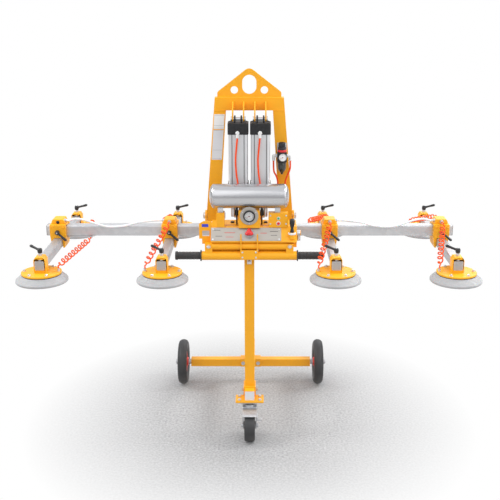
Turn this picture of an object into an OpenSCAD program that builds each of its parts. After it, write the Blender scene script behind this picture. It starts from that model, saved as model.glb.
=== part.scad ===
// Glass panel lifter: a tilting lifting mast over a spreader beam with eight suction pads on four
// sliding carriages, standing on a three-wheeled transport stand. Millimetres, +Z up, the operator
// stands on the -Y side, and the origin is on the floor under the middle of the beam.

/* [Stand] */
// Outside width of the square spine and column
stand_tube = 45; // [40:1:48]
// Wall of the stand's tubes
stand_wall = 3; // [2:0.5:4]
// Front end of the base spine, in front of the beam
spine_front = 255; // [250:1:300]
// Rear end of the base spine, behind the beam
spine_rear = 375; // [372:1:400]
// Distance of the column in front of the beam
column_ahead = 184; // [180:1:195]
// Height of the column's top above the floor
column_top = 960; // [940:1:970]

/* [Rear wheels] */
// Diameter of the rear wheels
wheel_d = 240; // [220:5:270]
// Width of the rear tyres
wheel_w = 50; // [40:1:56]
// Half of the distance between the rear wheels' middles
wheel_half_track = 363; // [355:1:400]
// Distance of the rear axle behind the beam
axle_behind = 350; // [300:1:360]
// Outside width of the rear cross tube
axle_tube_w = 40; // [36:1:44]
// Diameter of the rear axle
axle_d = 20; // [16:1:22]

/* [Caster] */
// Diameter of the caster's wheel
caster_d = 150; // [125:5:150]
// Width of the caster's wheel
caster_w = 50; // [40:1:52]
// Height of the caster's top plate above the floor
caster_h = 190; // [187:1:200]
// Distance of the swivel axis in front of the beam
swivel_ahead = 236; // [232:1:244]
// Trail of the caster's wheel
caster_trail = 34; // [30:1:36]

/* [Beam and arms] */
// Length of the spreader beam
beam_len = 1904; // [1900:1:2000]
// Outside width of the spreader beam
beam_w = 50; // [46:1:52]
// Wall of the spreader beam
beam_wall = 4; // [3:0.5:6]
// Height of the beam's middle above the floor
beam_z = 960; // [955:1:965]
// Distance of the inner carriages from the middle
inner_x = 375; // [372:1:400]
// Distance of the outer carriages from the middle
outer_x = 897; // [860:1:900]
// Length of the cross arms
arm_len = 816; // [810:2:840]
// Outside width of the cross arms
arm_w = 40; // [36:1:42]
// Wall of the cross arms
arm_wall = 3; // [2:0.5:4]

/* [Suction pads] */
// Distance of the pads' middles in front of and behind the beam
pad_y = 380; // [370:1:382]
// Diameter of the rubber suction pad
pad_d = 224; // [210:2:240]
// Height of the rubber suction pad
pad_h = 35; // [30:1:40]
// Diameter of the yellow pad plate
plate_d = 172; // [164:2:180]
// Thickness of the pad plate
plate_t = 8; // [6:1:10]
// Number of screws round a pad plate
pad_screws = 6; // [4:1:8]

/* [Mast] */
// Width of the mast's tubes, seen from the side
mast_tube = 50; // [46:1:52]
// Width of the mast's tubes at the crossbar, seen from the front
mast_top_w = 53; // [48:1:58]
// Width of the mast's tubes at their feet, seen from the front
mast_foot_w = 62; // [52:1:66]
// Wall of the mast's tubes
mast_wall = 3; // [2:0.5:5]
// Height of the top of the crossbar
crossbar_top = 1578; // [1570:1:1600]
// Height of the crossbar's section
crossbar_h = 57; // [50:1:64]
// Half width of the mast at the crossbar, outside
mast_top_half = 156; // [150:1:164]
// Half width of the mast at its feet, outside
mast_foot_half = 199; // [188:1:202]
// Distance of the mast's middle behind the beam's middle
mast_behind = 12; // [8:1:14]
// Height of the tilt axis above the beam's top
tilt_rise = 40; // [38:1:44]
// Diameter of the tilt pins
tilt_pin_d = 20; // [16:1:22]
// Thickness of the lifting plate
eye_t = 12; // [10:1:15]
// Height of the lifting plate above the crossbar
eye_h = 127; // [120:1:140]
// Width of the crane hook's slot in the lifting plate
eye_slot_w = 64; // [56:1:68]
// Height of the crane hook's slot
eye_slot_h = 85; // [80:1:88]
// Diameter of the two shackle holes
shackle_d = 34; // [26:1:36]

/* [Tilt cylinders] */
// Bore of the tilt cylinders
bore_d = 80; // [70:1:80]
// Width of the cylinder heads
head_w = 93; // [90:1:95]
// Height of the cylinder heads
head_h = 49; // [40:1:50]
// Half of the distance between the cylinders' axes
cylinder_half_gap = 50; // [49:1:52]
// Diameter of the piston rods
rod_d = 25; // [20:1:25]
// Height of the upper clevis pins
clevis_z = 1490; // [1484:1:1492]
// Length of the cylinder between the outer faces of its heads
cylinder_len = 321; // [315:1:325]

/* [Console] */
// Half width of the console box, to the left
console_left = 170; // [168:1:174]
// Half width of the console box, to the right
console_right = 142; // [140:1:152]
// Diameter of the air tank
tank_d = 108; // [100:1:110]
// Length of the air tank
tank_len = 354; // [340:2:370]
// Height of the tank's middle above the floor
tank_z = 1166; // [1161:1:1170]
// Diameter of the gauge's bezel plate
bezel_d = 82; // [76:1:86]
// Diameter of the handle bar
handle_d = 28; // [25:1:30]
// Diameter of the hand grips
grip_d = 36; // [34:1:38]
// Length of the hand grips
grip_len = 118; // [110:1:120]

/* [Hidden] */
$fn = 48;

// Gaps: turning fits, sliding fits of square tubes, and pieces that pass each other
fit = 0.05;
slide_gap = 0.5;
side_gap = 0.4;
seat_gap = 0.3;
sheet = 5;
bolt_r = 6;
YELLOW = "orange";
STEEL = "silver";
BLACK = "dimgray";
RUBBER = "darkgray";
RED = "orangered";

// Stand: heights follow from the caster, which carries the spine
seat_t = 8;
spine_z = caster_h + seat_t + stand_tube / 2;
spine_under = spine_z - stand_tube / 2;
spine_over = spine_z + stand_tube / 2;
wheel_r = wheel_d / 2;
hub_len = wheel_w + 4;
hub_in = wheel_half_track - hub_len / 2;
hub_out = wheel_half_track + hub_len / 2;
axle_tube_end = hub_in - 15;
foot_len = 70;
foot_half = stand_tube / 2 + 6;
cap_t = 5;

// Caster below the seat plate
caster_r = caster_d / 2;
caster_axle_y = -swivel_ahead - caster_trail;
kingpin_r = 6;
fork_top = caster_h - 16;
fork_inner = caster_w / 2 + 4;
fork_t = 4;
hood_r = caster_r + 12;

// Beam, carriages and arms
beam_top = beam_z + beam_w / 2;
arm_top = beam_z - beam_w / 2 - 5;
arm_z = arm_top - arm_w / 2;
carriage_w = 74;
// The left outer pads draw from a pipe under the beam, and the others from their carriages
port_x = 148 - outer_x;
port_z = beam_z - beam_w / 2 - 9;
carriage_deep = 50;
carriage_floor = arm_z - arm_w / 2 - 6;
hat_top = beam_top + 32;
CARRIAGE_X = [-outer_x, -inner_x, inner_x, outer_x];
// Side on which each carriage's hose meets its pads: -1 is left, 1 is right
HOSE_SIDE = [1, -1, -1, -1];

// Suction pads hang from the arms
yoke_len = 50;
yoke_half = arm_w / 2 + 5.5;
yoke_top = arm_top + 17;
boss_top = yoke_top + 13;
pad_plate_top = arm_z - arm_w / 2 - 13;
pad_plate_under = pad_plate_top - plate_t;
lever_reach = 60;

// Mast and tilt axis
tilt_z = beam_top + tilt_rise;
foot_bottom = tilt_z - 22;
crossbar_under = crossbar_top - crossbar_h;
mast_front = mast_behind - mast_tube / 2;
lug_t = 8;
foot_inner = mast_foot_half - mast_foot_w - 3;

// Tilt cylinders stand in front of the mast
cylinder_y = mast_front - 53;
head_top = clevis_z - 15;
head_under = head_top - cylinder_len;
lever_pin_z = tilt_z + 25;
clevis_pin_r = 8;
fork_gap = 7;
fork_cheek = 13;
piston_z = head_top - head_h - 30;

// Console: the sloping panel runs from its lower front edge to its upper rear edge
panel_low = [-256, 974];
panel_high = [-214, 1033];
console_rear = -100;
console_under = 940;
socket_under = 893;
socket_half = stand_tube / 2 + slide_gap + 6;
column_y = -column_ahead;
handle_y = -241;
handle_z = 905;
grip_in = 213;
tank_y = -190;
silencer_y = -180;
SILENCER_X = [-72, 73];
valve_x = 190;
valve_y = -245;
valve_ball_r = 7;
valve_z = 1011;
button_stem_r = 7;
panel_slope = atan2(panel_high[1] - panel_low[1], panel_high[0] - panel_low[0]);
gauge_z = 1086;
gauge_front = -232;

// Placing helpers

module along_x(r, x0, x1, y, z) {
  translate([x0, y, z]) rotate([0, 90, 0]) cylinder(r = r, h = x1 - x0);
}

module along_y(r, y0, y1, x, z) {
  translate([x, y0, z]) rotate([-90, 0, 0]) cylinder(r = r, h = y1 - y0);
}

module along_z(r, z0, z1, x, y) {
  translate([x, y, z0]) cylinder(r = r, h = z1 - z0);
}

// A box from its lowest to its highest corner
module block(low, high) {
  translate(low) cube(high - low);
}

// A plate with its outline in the YZ plane, from x0 to x1
module side_plate(points, x0, x1) {
  translate([x0, 0, 0]) rotate([90, 0, 90]) linear_extrude(height = x1 - x0) polygon(points);
}

// A plate with its outline in the XZ plane, from y0 to y1
module front_plate(points, y0, y1) {
  translate([0, y1, 0]) rotate([90, 0, 0]) linear_extrude(height = y1 - y0) polygon(points);
}

module mirrored_x() {
  children();
  mirror([1, 0, 0]) children();
}

// A hexagon head with its washer, standing along +Z
module hex_head(r, h) {
  cylinder(r = r * 1.15, h = h * 0.2);
  translate([0, 0, h * 0.2]) cylinder(r = r, h = h * 0.8, $fn = 6);
}

// Stand

module base_spine() {
  color(YELLOW) difference() {
    union() {
      block([-stand_tube / 2, -spine_front, spine_under], [stand_tube / 2, spine_rear, spine_over]);
      // Seat plate of the caster
      block([-66, -swivel_ahead - 35, caster_h], [66, -swivel_ahead + 35, spine_under]);
      // Riser and saddle over the cross tube
      block([-stand_tube / 2, axle_behind - axle_tube_w / 2 - sheet, wheel_r + axle_tube_w / 2],
            [stand_tube / 2, axle_behind + axle_tube_w / 2 + sheet, spine_under + 1]);
      block([-54, axle_behind - axle_tube_w / 2 - sheet, wheel_r - axle_tube_w / 2],
            [54, axle_behind + axle_tube_w / 2 + sheet, wheel_r + axle_tube_w / 2 + sheet]);
    }
    block([-stand_tube / 2 + stand_wall, -spine_front - 1, spine_under + stand_wall],
          [stand_tube / 2 - stand_wall, spine_rear + 1, spine_over - stand_wall]);
    block([-55, axle_behind - axle_tube_w / 2, wheel_r - axle_tube_w / 2 - 1],
          [55, axle_behind + axle_tube_w / 2, wheel_r + axle_tube_w / 2]);
    along_x(bolt_r + fit, -foot_half, foot_half, column_y, spine_z);
    for (x = [-48, 48], y = [-20, 20])
      along_z(4 + fit, caster_h - 1, spine_under + 1, x, y - swivel_ahead);
    for (x = [-40, 40])
      along_y(5 + fit, axle_behind - axle_tube_w, axle_behind, x, wheel_r);
  }
}

module axle_tube() {
  color(YELLOW) difference() {
    block([-axle_tube_end, axle_behind - axle_tube_w / 2, wheel_r - axle_tube_w / 2],
          [axle_tube_end, axle_behind + axle_tube_w / 2, wheel_r + axle_tube_w / 2]);
    // The ends are solid blocks that carry the axle
    block([-axle_tube_end + 30, axle_behind - axle_tube_w / 2 + stand_wall,
           wheel_r - axle_tube_w / 2 + stand_wall],
          [axle_tube_end - 30, axle_behind + axle_tube_w / 2 - stand_wall,
           wheel_r + axle_tube_w / 2 - stand_wall]);
    along_x(axle_d / 2 + fit, -axle_tube_end - 1, axle_tube_end + 1, axle_behind, wheel_r);
    for (x = [-40, 40])
      along_y(5 + fit, axle_behind - axle_tube_w, axle_behind, x, wheel_r);
  }
}

module column() {
  foot_over = spine_over + sheet;
  color(YELLOW) difference() {
    union() {
      block([-stand_tube / 2, column_y - stand_tube / 2, spine_over],
            [stand_tube / 2, column_y + stand_tube / 2, column_top]);
      block([-foot_half, column_y - foot_len / 2, spine_under + 4],
            [foot_half, column_y + foot_len / 2, foot_over]);
    }
    block([-stand_tube / 2 + stand_wall, column_y - stand_tube / 2 + stand_wall, foot_over],
          [stand_tube / 2 - stand_wall, column_y + stand_tube / 2 - stand_wall, column_top - sheet]);
    block([-stand_tube / 2, column_y - foot_len, spine_under],
          [stand_tube / 2, column_y + foot_len, spine_over]);
    along_x(bolt_r + fit, -foot_half - 1, foot_half + 1, column_y, spine_z);
  }
}

// Rear axle, bolts, end caps, lock pin and the caster's fixed top plate
module stand_hardware() {
  inner = stand_tube / 2 - stand_wall;
  color(STEEL) {
    along_x(axle_d / 2, -hub_out - 12, hub_out + 12, axle_behind, wheel_r);
    mirrored_x() {
      along_x(axle_d / 2 + 4, axle_tube_end, hub_in - side_gap, axle_behind, wheel_r);
      along_x(axle_d / 2 + 7, hub_out + side_gap, hub_out + 4, axle_behind, wheel_r);
      along_x(axle_d / 2 + 4, hub_out + 4, hub_out + 12, axle_behind, wheel_r);
    }
    // Square lock on the column's front
    block([-10, column_y - stand_tube / 2 - 9, 856], [10, column_y - stand_tube / 2, 876]);
    // Bolt through the column's foot and the spine
    along_x(bolt_r, -foot_half, foot_half, column_y, spine_z);
    mirrored_x() translate([foot_half, column_y, spine_z]) rotate([0, 90, 0]) hex_head(10, 9);
    // Screws that hold the saddle to the cross tube, short of the axle
    for (x = [-40, 40]) {
      along_y(5, axle_behind - axle_tube_w / 2 - sheet, axle_behind - axle_d / 2 - 4, x, wheel_r);
      translate([x, axle_behind - axle_tube_w / 2 - sheet, wheel_r]) rotate([90, 0, 0]) hex_head(9, 8);
    }
    // End caps of the spine
    for (end = [[-spine_front, 1], [spine_rear, -1]]) {
      translate([0, end[0], spine_z]) {
        block([-inner, min(0, end[1] * 12), -inner], [inner, max(0, end[1] * 12), inner]);
        block([-stand_tube / 2, min(0, -end[1] * cap_t), -stand_tube / 2],
              [stand_tube / 2, max(0, -end[1] * cap_t), stand_tube / 2]);
      }
    }
    // Top plate of the caster, its raceway, kingpin and four bolts
    block([-57, -swivel_ahead - 32, caster_h - 4], [57, -swivel_ahead + 32, caster_h]);
    along_z(22, caster_h - 15.6, caster_h - 4, 0, -swivel_ahead);
    along_z(kingpin_r, fork_top - 22, caster_h - 4, 0, -swivel_ahead);
    along_z(kingpin_r + 4, fork_top - 22, fork_top - 16.4, 0, -swivel_ahead);
    for (x = [-48, 48], y = [-20, 20]) {
      along_z(4, caster_h - 1, spine_under, x, y - swivel_ahead);
      translate([x, y - swivel_ahead, spine_under]) hex_head(7, 6);
    }
  }
}

// One rear wheel, turned about X: a rubber tyre on a hub with five spokes' webs
module rear_wheel(side) {
  tyre_in = wheel_r - 28;
  translate([side * wheel_half_track, axle_behind, wheel_r]) rotate([0, 90, 0]) {
    color(BLACK) rotate_extrude($fn = 96) polygon(concat(
      [[tyre_in, -wheel_w / 2 + 8], [tyre_in, wheel_w / 2 - 8]],
      [for (a = [90:-15:-90]) [wheel_r - 16 + 16 * cos(a), (wheel_w / 2 - 4) * sin(a) + 4 * sign(a)]]));
    color(RED) difference() {
      union() {
        difference() {
          cylinder(r = tyre_in, h = wheel_w - 18, center = true);
          cylinder(r = tyre_in - 5, h = wheel_w, center = true);
        }
        cylinder(r = tyre_in - 4, h = 6, center = true);
        cylinder(r = 24, h = hub_len, center = true);
      }
      cylinder(r = axle_d / 2 + fit, h = hub_len + 2, center = true);
      for (i = [0:4]) rotate(i * 72) translate([58, 0, 0]) cylinder(r = 15, h = 10, center = true);
    }
  }
}

module caster_fork() {
  color(STEEL) difference() {
    union() {
      // Swivel head, and the bridge that joins the legs
      along_z(28, fork_top - 12, fork_top, 0, -swivel_ahead);
      block([-fork_inner - fork_t, -swivel_ahead - 34, fork_top - 12],
            [fork_inner + fork_t, -swivel_ahead + 28, fork_top - 6]);
      // Hood in front of the wheel's top
      intersection() {
        along_x(hood_r + 3, -fork_inner - fork_t, fork_inner + fork_t, caster_axle_y, caster_r);
        block([-fork_inner - fork_t, caster_axle_y - 62, caster_r + 71],
              [fork_inner + fork_t, -swivel_ahead, fork_top - 8]);
      }
      mirrored_x() side_plate([
        [-swivel_ahead + 28, fork_top - 6], [-swivel_ahead - 34, fork_top - 6],
        [caster_axle_y - 20, caster_r + 60], [caster_axle_y - 18, caster_r - 12],
        [caster_axle_y + 14, caster_r - 16], [caster_axle_y + 26, caster_r + 20],
        [-swivel_ahead + 28, fork_top - 34]], fork_inner, fork_inner + fork_t);
    }
    along_x(hood_r, -fork_inner, fork_inner, caster_axle_y, caster_r);
    along_z(kingpin_r + fit, fork_top - 40, fork_top + 1, 0, -swivel_ahead);
    along_z(kingpin_r + 5, fork_top - 40, fork_top - 12, 0, -swivel_ahead);
    along_x(5, fork_inner - 1, fork_inner + fork_t + 1, caster_axle_y + 16, caster_r + 44);
  }
  color(STEEL) {
    along_x(6, -fork_inner - fork_t - 4, fork_inner + fork_t + 4, caster_axle_y, caster_r);
    mirrored_x() along_x(11, fork_inner + fork_t, fork_inner + fork_t + 8, caster_axle_y, caster_r);
  }
}

module caster_wheel() {
  tyre_in = caster_r - 20;
  translate([0, caster_axle_y, caster_r]) rotate([0, 90, 0]) {
    color(BLACK) rotate_extrude($fn = 72) polygon([
      [tyre_in, -caster_w / 2 + 2], [caster_r - 6, -caster_w / 2], [caster_r, -caster_w / 2 + 8],
      [caster_r, caster_w / 2 - 8], [caster_r - 6, caster_w / 2], [tyre_in, caster_w / 2 - 2]]);
    color(STEEL) difference() {
      union() {
        cylinder(r = tyre_in, h = 24, center = true);
        cylinder(r = 18, h = 2 * fork_inner - 2 * side_gap, center = true);
      }
      cylinder(r = 6 + fit, h = caster_w + 20, center = true);
    }
  }
}

// Brake pedal outside the fork's right leg, turning on its own pin
module caster_brake() {
  pin_y = caster_axle_y + 16;
  pin_z = caster_r + 44;
  side = fork_inner + fork_t + side_gap;
  color(BLACK) {
    along_x(5 - fit, fork_inner + 0.5, side + 6, pin_y, pin_z);
    along_x(9, side, side + 6, pin_y, pin_z);
    side_plate([[pin_y - 4, pin_z - 6], [pin_y - 46, pin_z - 2], [pin_y - 46, pin_z + 4],
                [pin_y - 4, pin_z + 8]], side, side + 6);
    block([side, pin_y - 58, pin_z - 1], [side + 26, pin_y - 34, pin_z + 3]);
  }
}

// Spreader beam with its plastic end caps
module main_beam() {
  inner = beam_w / 2 - beam_wall;
  color(STEEL) difference() {
    block([-beam_len / 2, -beam_w / 2, beam_z - beam_w / 2], [beam_len / 2, beam_w / 2, beam_top]);
    block([-beam_len / 2 - 1, -inner, beam_z - inner], [beam_len / 2 + 1, inner, beam_z + inner]);
  }
  color(BLACK) mirrored_x() {
    block([beam_len / 2 - 14, -inner, beam_z - inner], [beam_len / 2, inner, beam_z + inner]);
    block([beam_len / 2, -beam_w / 2, beam_z - beam_w / 2], [beam_len / 2 + 4, beam_w / 2, beam_top]);
  }
}

// Lugs on the beam: two pairs for the mast's feet, and a lever for each cylinder
module pivot_brackets() {
  rear = mast_behind + 26;
  color(YELLOW) difference() {
    union() {
      mirrored_x() for (x = [foot_inner - lug_t, mast_foot_half + 2]) {
        side_plate([[-beam_w / 2, beam_top], [rear, beam_top], [rear, tilt_z], [-14, tilt_z]], x, x + lug_t);
        along_x(26, x, x + lug_t, mast_behind, tilt_z);
      }
      mirrored_x() {
        side_plate([[-beam_w / 2, beam_top], [8, beam_top], [cylinder_y + 13, lever_pin_z],
                    [cylinder_y - 13, lever_pin_z - 6]], cylinder_half_gap - 5, cylinder_half_gap + 5);
        along_x(14, cylinder_half_gap - 5, cylinder_half_gap + 5, cylinder_y, lever_pin_z);
        // Middle of the fork's pin, which the lever carries
        along_x(clevis_pin_r, cylinder_half_gap - fork_gap + side_gap,
                cylinder_half_gap + fork_gap - side_gap, cylinder_y, lever_pin_z);
      }
    }
    along_x(tilt_pin_d / 2 + fit, -mast_foot_half - 20, mast_foot_half + 20, mast_behind, tilt_z);
  }
}

// Console: folded box, socket for the column, front tube, handle brackets and side plates
module console_body() {
  wall = 3;
  bracket_half = 39.5;
  bracket_over = socket_under + 42;
  right_end = 212;
  box_front = -226;
  color(YELLOW) difference() {
    union() {
      // Box under the panel
      difference() {
        side_plate([[box_front, console_under], [box_front, panel_low[1] - 4], [panel_low[0], panel_low[1] - 4],
                    panel_low, panel_high, [console_rear, panel_high[1]], [console_rear, console_under]],
                   -console_left, right_end);
        side_plate([[box_front + wall, console_under - 1], [box_front + wall, panel_low[1]],
                    [panel_low[0] + 7, panel_low[1]], [panel_high[0] + 3, panel_high[1] - wall],
                    [console_rear - wall, panel_high[1] - wall],
                    [console_rear - wall, console_under - 1]], -console_left + wall, right_end - wall);
      }
      // Socket that drops over the column, and its seat
      block([-socket_half, column_y - socket_half, socket_under], [socket_half, column_y + socket_half, column_top + 8]);
      // Bracket in front of the socket
      block([-bracket_half, -262, socket_under], [bracket_half, -256, bracket_over]);
      mirrored_x() {
        block([bracket_half - 6, -262, socket_under],
              [bracket_half, column_y - socket_half + 8, bracket_over]);
        // Prongs that rise in front of the panel, and stay clear of its plate
        block([bracket_half - 6, -262, socket_under], [bracket_half, -254, panel_low[1] - 1]);
        block([bracket_half - 6, -262, socket_under], [bracket_half, -257, 1009]);
      }
      block([-bracket_half, column_y - socket_half, socket_under],
            [bracket_half, column_y - socket_half + 6, bracket_over]);
      // Front tube
      along_x(16, -165, 165, -240, 949);
      // Sleeve and cheeks that carry the handle bar
      along_x(handle_d / 2 + 6, -right_end, right_end, handle_y, handle_z);
      mirrored_x()
        side_plate([[handle_y - 16, handle_z], [handle_y + 18, handle_z], [-206, 962], [-252, 962]],
                   164, 197);
      // Box that holds the gauge, and the switch box on the right
      block([-47, gauge_front, panel_high[1] - wall], [47, -182, tank_z - tank_d / 2 - 4]);
      block([86, -222, panel_high[1] - wall], [172, -184, panel_high[1] + 62]);
      // Post under the tank on the left
      block([-146, -220, panel_high[1] - wall], [-110, -176, panel_high[1] + 62]);
      // Collar of the tilt valve
      along_z(14, valve_z - 26, valve_z + 2.6, valve_x, valve_y);
      // Side plate with a hand hole on the left
      front_plate([[-211, 953], [-console_left + wall, 953], [-console_left + wall, 1057], [-204, 1057],
                   [-224, 1045], [-224, 977], [-211, 977]], -218, -211);
    }
    // Column bore with its sliding gap, closed by the seat on top
    block([-stand_tube / 2 - slide_gap, column_y - stand_tube / 2 - slide_gap, 880],
          [stand_tube / 2 + slide_gap, column_y + stand_tube / 2 + slide_gap, column_top + seat_gap]);
    along_x(handle_d / 2 + fit, -230, 230, handle_y, handle_z);
    block([-210, -220, 988], [-178, -208, 1014]);
    // Bores for the valve's ball and pin, the ejectors' bolts and the button
    along_z(valve_ball_r + 0.5, valve_z - valve_ball_r - side_gap, valve_z + 20, valve_x, valve_y);
    block([valve_x - 14.5, valve_y - 2.5, valve_z - 2.5], [valve_x + 14.5, valve_y + 2.5, valve_z + 20]);
    along_z(5 + fit, panel_high[1] - 10, panel_high[1] + 3, -76, -150);
    along_z(5 + fit, panel_high[1] - 10, panel_high[1] + 3, 74, -150);
    on_panel() translate([0, 0, -10]) cylinder(r = button_stem_r + 0.5, h = 20);
  }
  // Two carriers that rest the console on the beam, and the bolt heads on the cheeks
  color(YELLOW) mirrored_x()
    side_plate([[console_rear, console_under + 8], [console_rear, panel_high[1] - 8],
                [-beam_w / 2, beam_top], [-beam_w / 2, beam_z - beam_w / 2 + 8]], 112, 122);
  color(STEEL) mirrored_x() translate([181, -252, 950]) rotate([75, 0, 0]) hex_head(8, 6);
  // Outlet of the air on the right, which turns downwards
  color(STEEL) {
    along_x(12, right_end - 1, right_end + 19, -205, 1000);
    along_z(8, 966, 1000, right_end + 9, -205);
  }
}

// Puts a shape on the middle of the panel's slope, with +Z square to it
module on_panel() {
  translate([0, (panel_low[0] + panel_high[0]) / 2, (panel_low[1] + panel_high[1]) / 2])
    rotate([panel_slope, 0, 0]) children();
}

// Bare metal panel on the console's slope, with the button's collar
module panel_plate() {
  length = norm(panel_high - panel_low);
  color(STEEL) difference() {
    on_panel() {
      translate([-console_left, -length / 2 + 3, 0.2]) cube([console_left + console_right, length - 10, 2]);
      translate([0, 0, 0.2]) cylinder(r = 20, h = 8.8);
    }
    on_panel() translate([0, 0, -10]) cylinder(r = button_stem_r + fit, h = 30);
  }
}

module handle_bar() {
  color(YELLOW) along_x(handle_d / 2, -grip_in - grip_len + 6, grip_in + grip_len - 6, handle_y, handle_z);
}

// Rubber grips, each closed at its outer end, with a hand stop at its inner end
module hand_grips() {
  color(BLACK) mirrored_x() difference() {
    union() {
      along_x(grip_d / 2, grip_in, grip_in + grip_len, handle_y, handle_z);
      along_x(grip_d / 2 + 7, grip_in, grip_in + 5, handle_y, handle_z);
      along_x(grip_d / 2 + 1.5, grip_in + grip_len - 10, grip_in + grip_len, handle_y, handle_z);
    }
    along_x(handle_d / 2 + fit, grip_in - 1, grip_in + grip_len - 6, handle_y, handle_z);
  }
}

// Polished tank with dished ends, on two straps that stand on the switch box and the post
module air_tank() {
  r = tank_d / 2;
  dish = 30;
  strap_foot = panel_high[1] + 62;
  color(STEEL) {
    difference() {
      translate([0, tank_y, tank_z]) rotate([0, 90, 0]) difference() {
        rotate_extrude($fn = 72) polygon(concat(
          [[0, -tank_len / 2]],
          [for (a = [80:-10:0]) [r * cos(a), -tank_len / 2 + dish * (1 - sin(a))]],
          [for (a = [0:10:80]) [r * cos(a), tank_len / 2 - dish * (1 - sin(a))]],
          [[0, tank_len / 2]]));
        cylinder(r = r - 3, h = tank_len - 2 * dish, center = true);
      }
      // Bores of the silencers' stems
      for (x = SILENCER_X) along_z(5 + fit, tank_z - r - 1, tank_z - r + 8, x, silencer_y);
    }
    for (x = [-128, 126])
      block([x - 12, tank_y - 18, strap_foot], [x + 12, tank_y - 14, tank_z - r * 0.85]);
    for (x = [-128, 126])
      block([x - 12, tank_y - 22, strap_foot], [x + 12, tank_y + 14, strap_foot + 4]);
  }
}

// Vacuum gauge: bezel plate, case ring and glass, with the needle left to its dial
module vacuum_gauge() {
  color(STEEL) difference() {
    along_y(bezel_d / 2, gauge_front - 4, gauge_front, 0, gauge_z);
    along_y(22, gauge_front - 10, gauge_front + 10, 0, gauge_z);
  }
  color(BLACK) difference() {
    union() {
      along_y(26, gauge_front - 16, gauge_front - 4, 0, gauge_z);
    }
    along_y(21, gauge_front - 20, gauge_front - 8, 0, gauge_z);
  }
  color("white") along_y(21, gauge_front - 12, gauge_front - 8, 0, gauge_z);
}

// Ejector blocks bolted inside the console, and the two silencers that hang below the tank
module vacuum_ejectors() {
  color(BLACK) {
    block([-120, -190, console_under + 6], [-50, -112, panel_high[1] - 12]);
    block([50, -190, console_under + 6], [120, -112, panel_high[1] - 12]);
  }
  color(STEEL) {
    for (x = [-76, 74]) {
      along_z(5, panel_high[1] - 12, panel_high[1] + 1, x, -150);
      translate([x, -150, panel_high[1]]) hex_head(8, 6);
    }
    for (x = SILENCER_X) {
      along_z(8.5, 1070, tank_z - tank_d / 2 - 4, x, silencer_y);
      along_z(5, tank_z - tank_d / 2 - 4, tank_z - tank_d / 2 + 6, x, silencer_y);
    }
  }
}

// Joystick of the tilt valve: a ball and its pin in the collar, a waist and a wide handle
module valve_lever() {
  r = valve_ball_r;
  color(BLACK) {
    translate([valve_x, valve_y, valve_z]) rotate_extrude() polygon(concat(
      [for (a = [-90:15:45]) [a == -90 ? 0 : r * cos(a), r * sin(a)]],
      [[5, 10], [6, 24], [10, 38], [12, 56], [9, 64], [0, 65]]));
    along_x(2, valve_x - 11, valve_x + 11, valve_y, valve_z);
  }
}

// Red mushroom button on the panel: it slides square to the panel
module stop_button() {
  color("red") on_panel() rotate_extrude() polygon([
    [0, -6], [button_stem_r, -6], [button_stem_r, 14], [17, 14], [19, 18], [18, 24], [12, 28], [0, 30]]);
}

// Mast: two leaning tubes and a crossbar, welded, with ears for the cylinders
module mast_frame() {
  top_in = mast_top_half - mast_top_w;
  foot_in = mast_foot_half - mast_foot_w;
  // Share of the uprights' slope that lies above the crossbar's underside
  lean = crossbar_h / (crossbar_top - tilt_z - 40);
  rear = mast_front + mast_tube;
  color(YELLOW) difference() {
    union() {
      mirrored_x() {
        front_plate([[top_in, crossbar_top], [mast_top_half, crossbar_top], [mast_foot_half, tilt_z + 40],
                     [mast_foot_half, foot_bottom], [foot_in, foot_bottom], [foot_in, tilt_z + 40]],
                    mast_front, rear);
        for (x = [cylinder_half_gap - 25, cylinder_half_gap + 24]) {
          side_plate([[mast_front, crossbar_top - 16], [mast_front - 38, crossbar_top - 18],
                      [cylinder_y - 12, clevis_z + 30], [cylinder_y - 12, clevis_z],
                      [cylinder_y + 12, clevis_z], [cylinder_y + 18, crossbar_under - 6],
                      [mast_front, crossbar_under]], x - 3, x + 3);
          along_x(12, x - 3, x + 3, cylinder_y, clevis_z);
        }
      }
      block([-mast_top_half + 2, mast_front, crossbar_under], [mast_top_half - 2, rear, crossbar_top]);
    }
    mirrored_x() front_plate([
      [top_in + lean * (foot_in - top_in) + mast_wall, crossbar_under],
      [mast_top_half + lean * (mast_foot_half - mast_top_half) - mast_wall, crossbar_under],
      [mast_foot_half - mast_wall, tilt_z + 40], [foot_in + mast_wall, tilt_z + 40]],
      mast_front + mast_wall, rear - mast_wall);
    block([-mast_top_half + 8, mast_front + mast_wall, crossbar_under + mast_wall],
          [mast_top_half - 8, rear - mast_wall, crossbar_top - mast_wall]);
    along_x(tilt_pin_d / 2 + fit, -mast_foot_half - 9, mast_foot_half + 9, mast_behind, tilt_z);
    along_x(clevis_pin_r + fit, -cylinder_half_gap - 40, cylinder_half_gap + 40, cylinder_y, clevis_z);
  }
}

// A straight-sided outline round two circles: the tangent line on their left, seen from the first
function tangent_normal(a, ra, b, rb) =
  let (d = b - a) atan2(d[1], d[0]) + acos((ra - rb) / norm(d));

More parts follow.
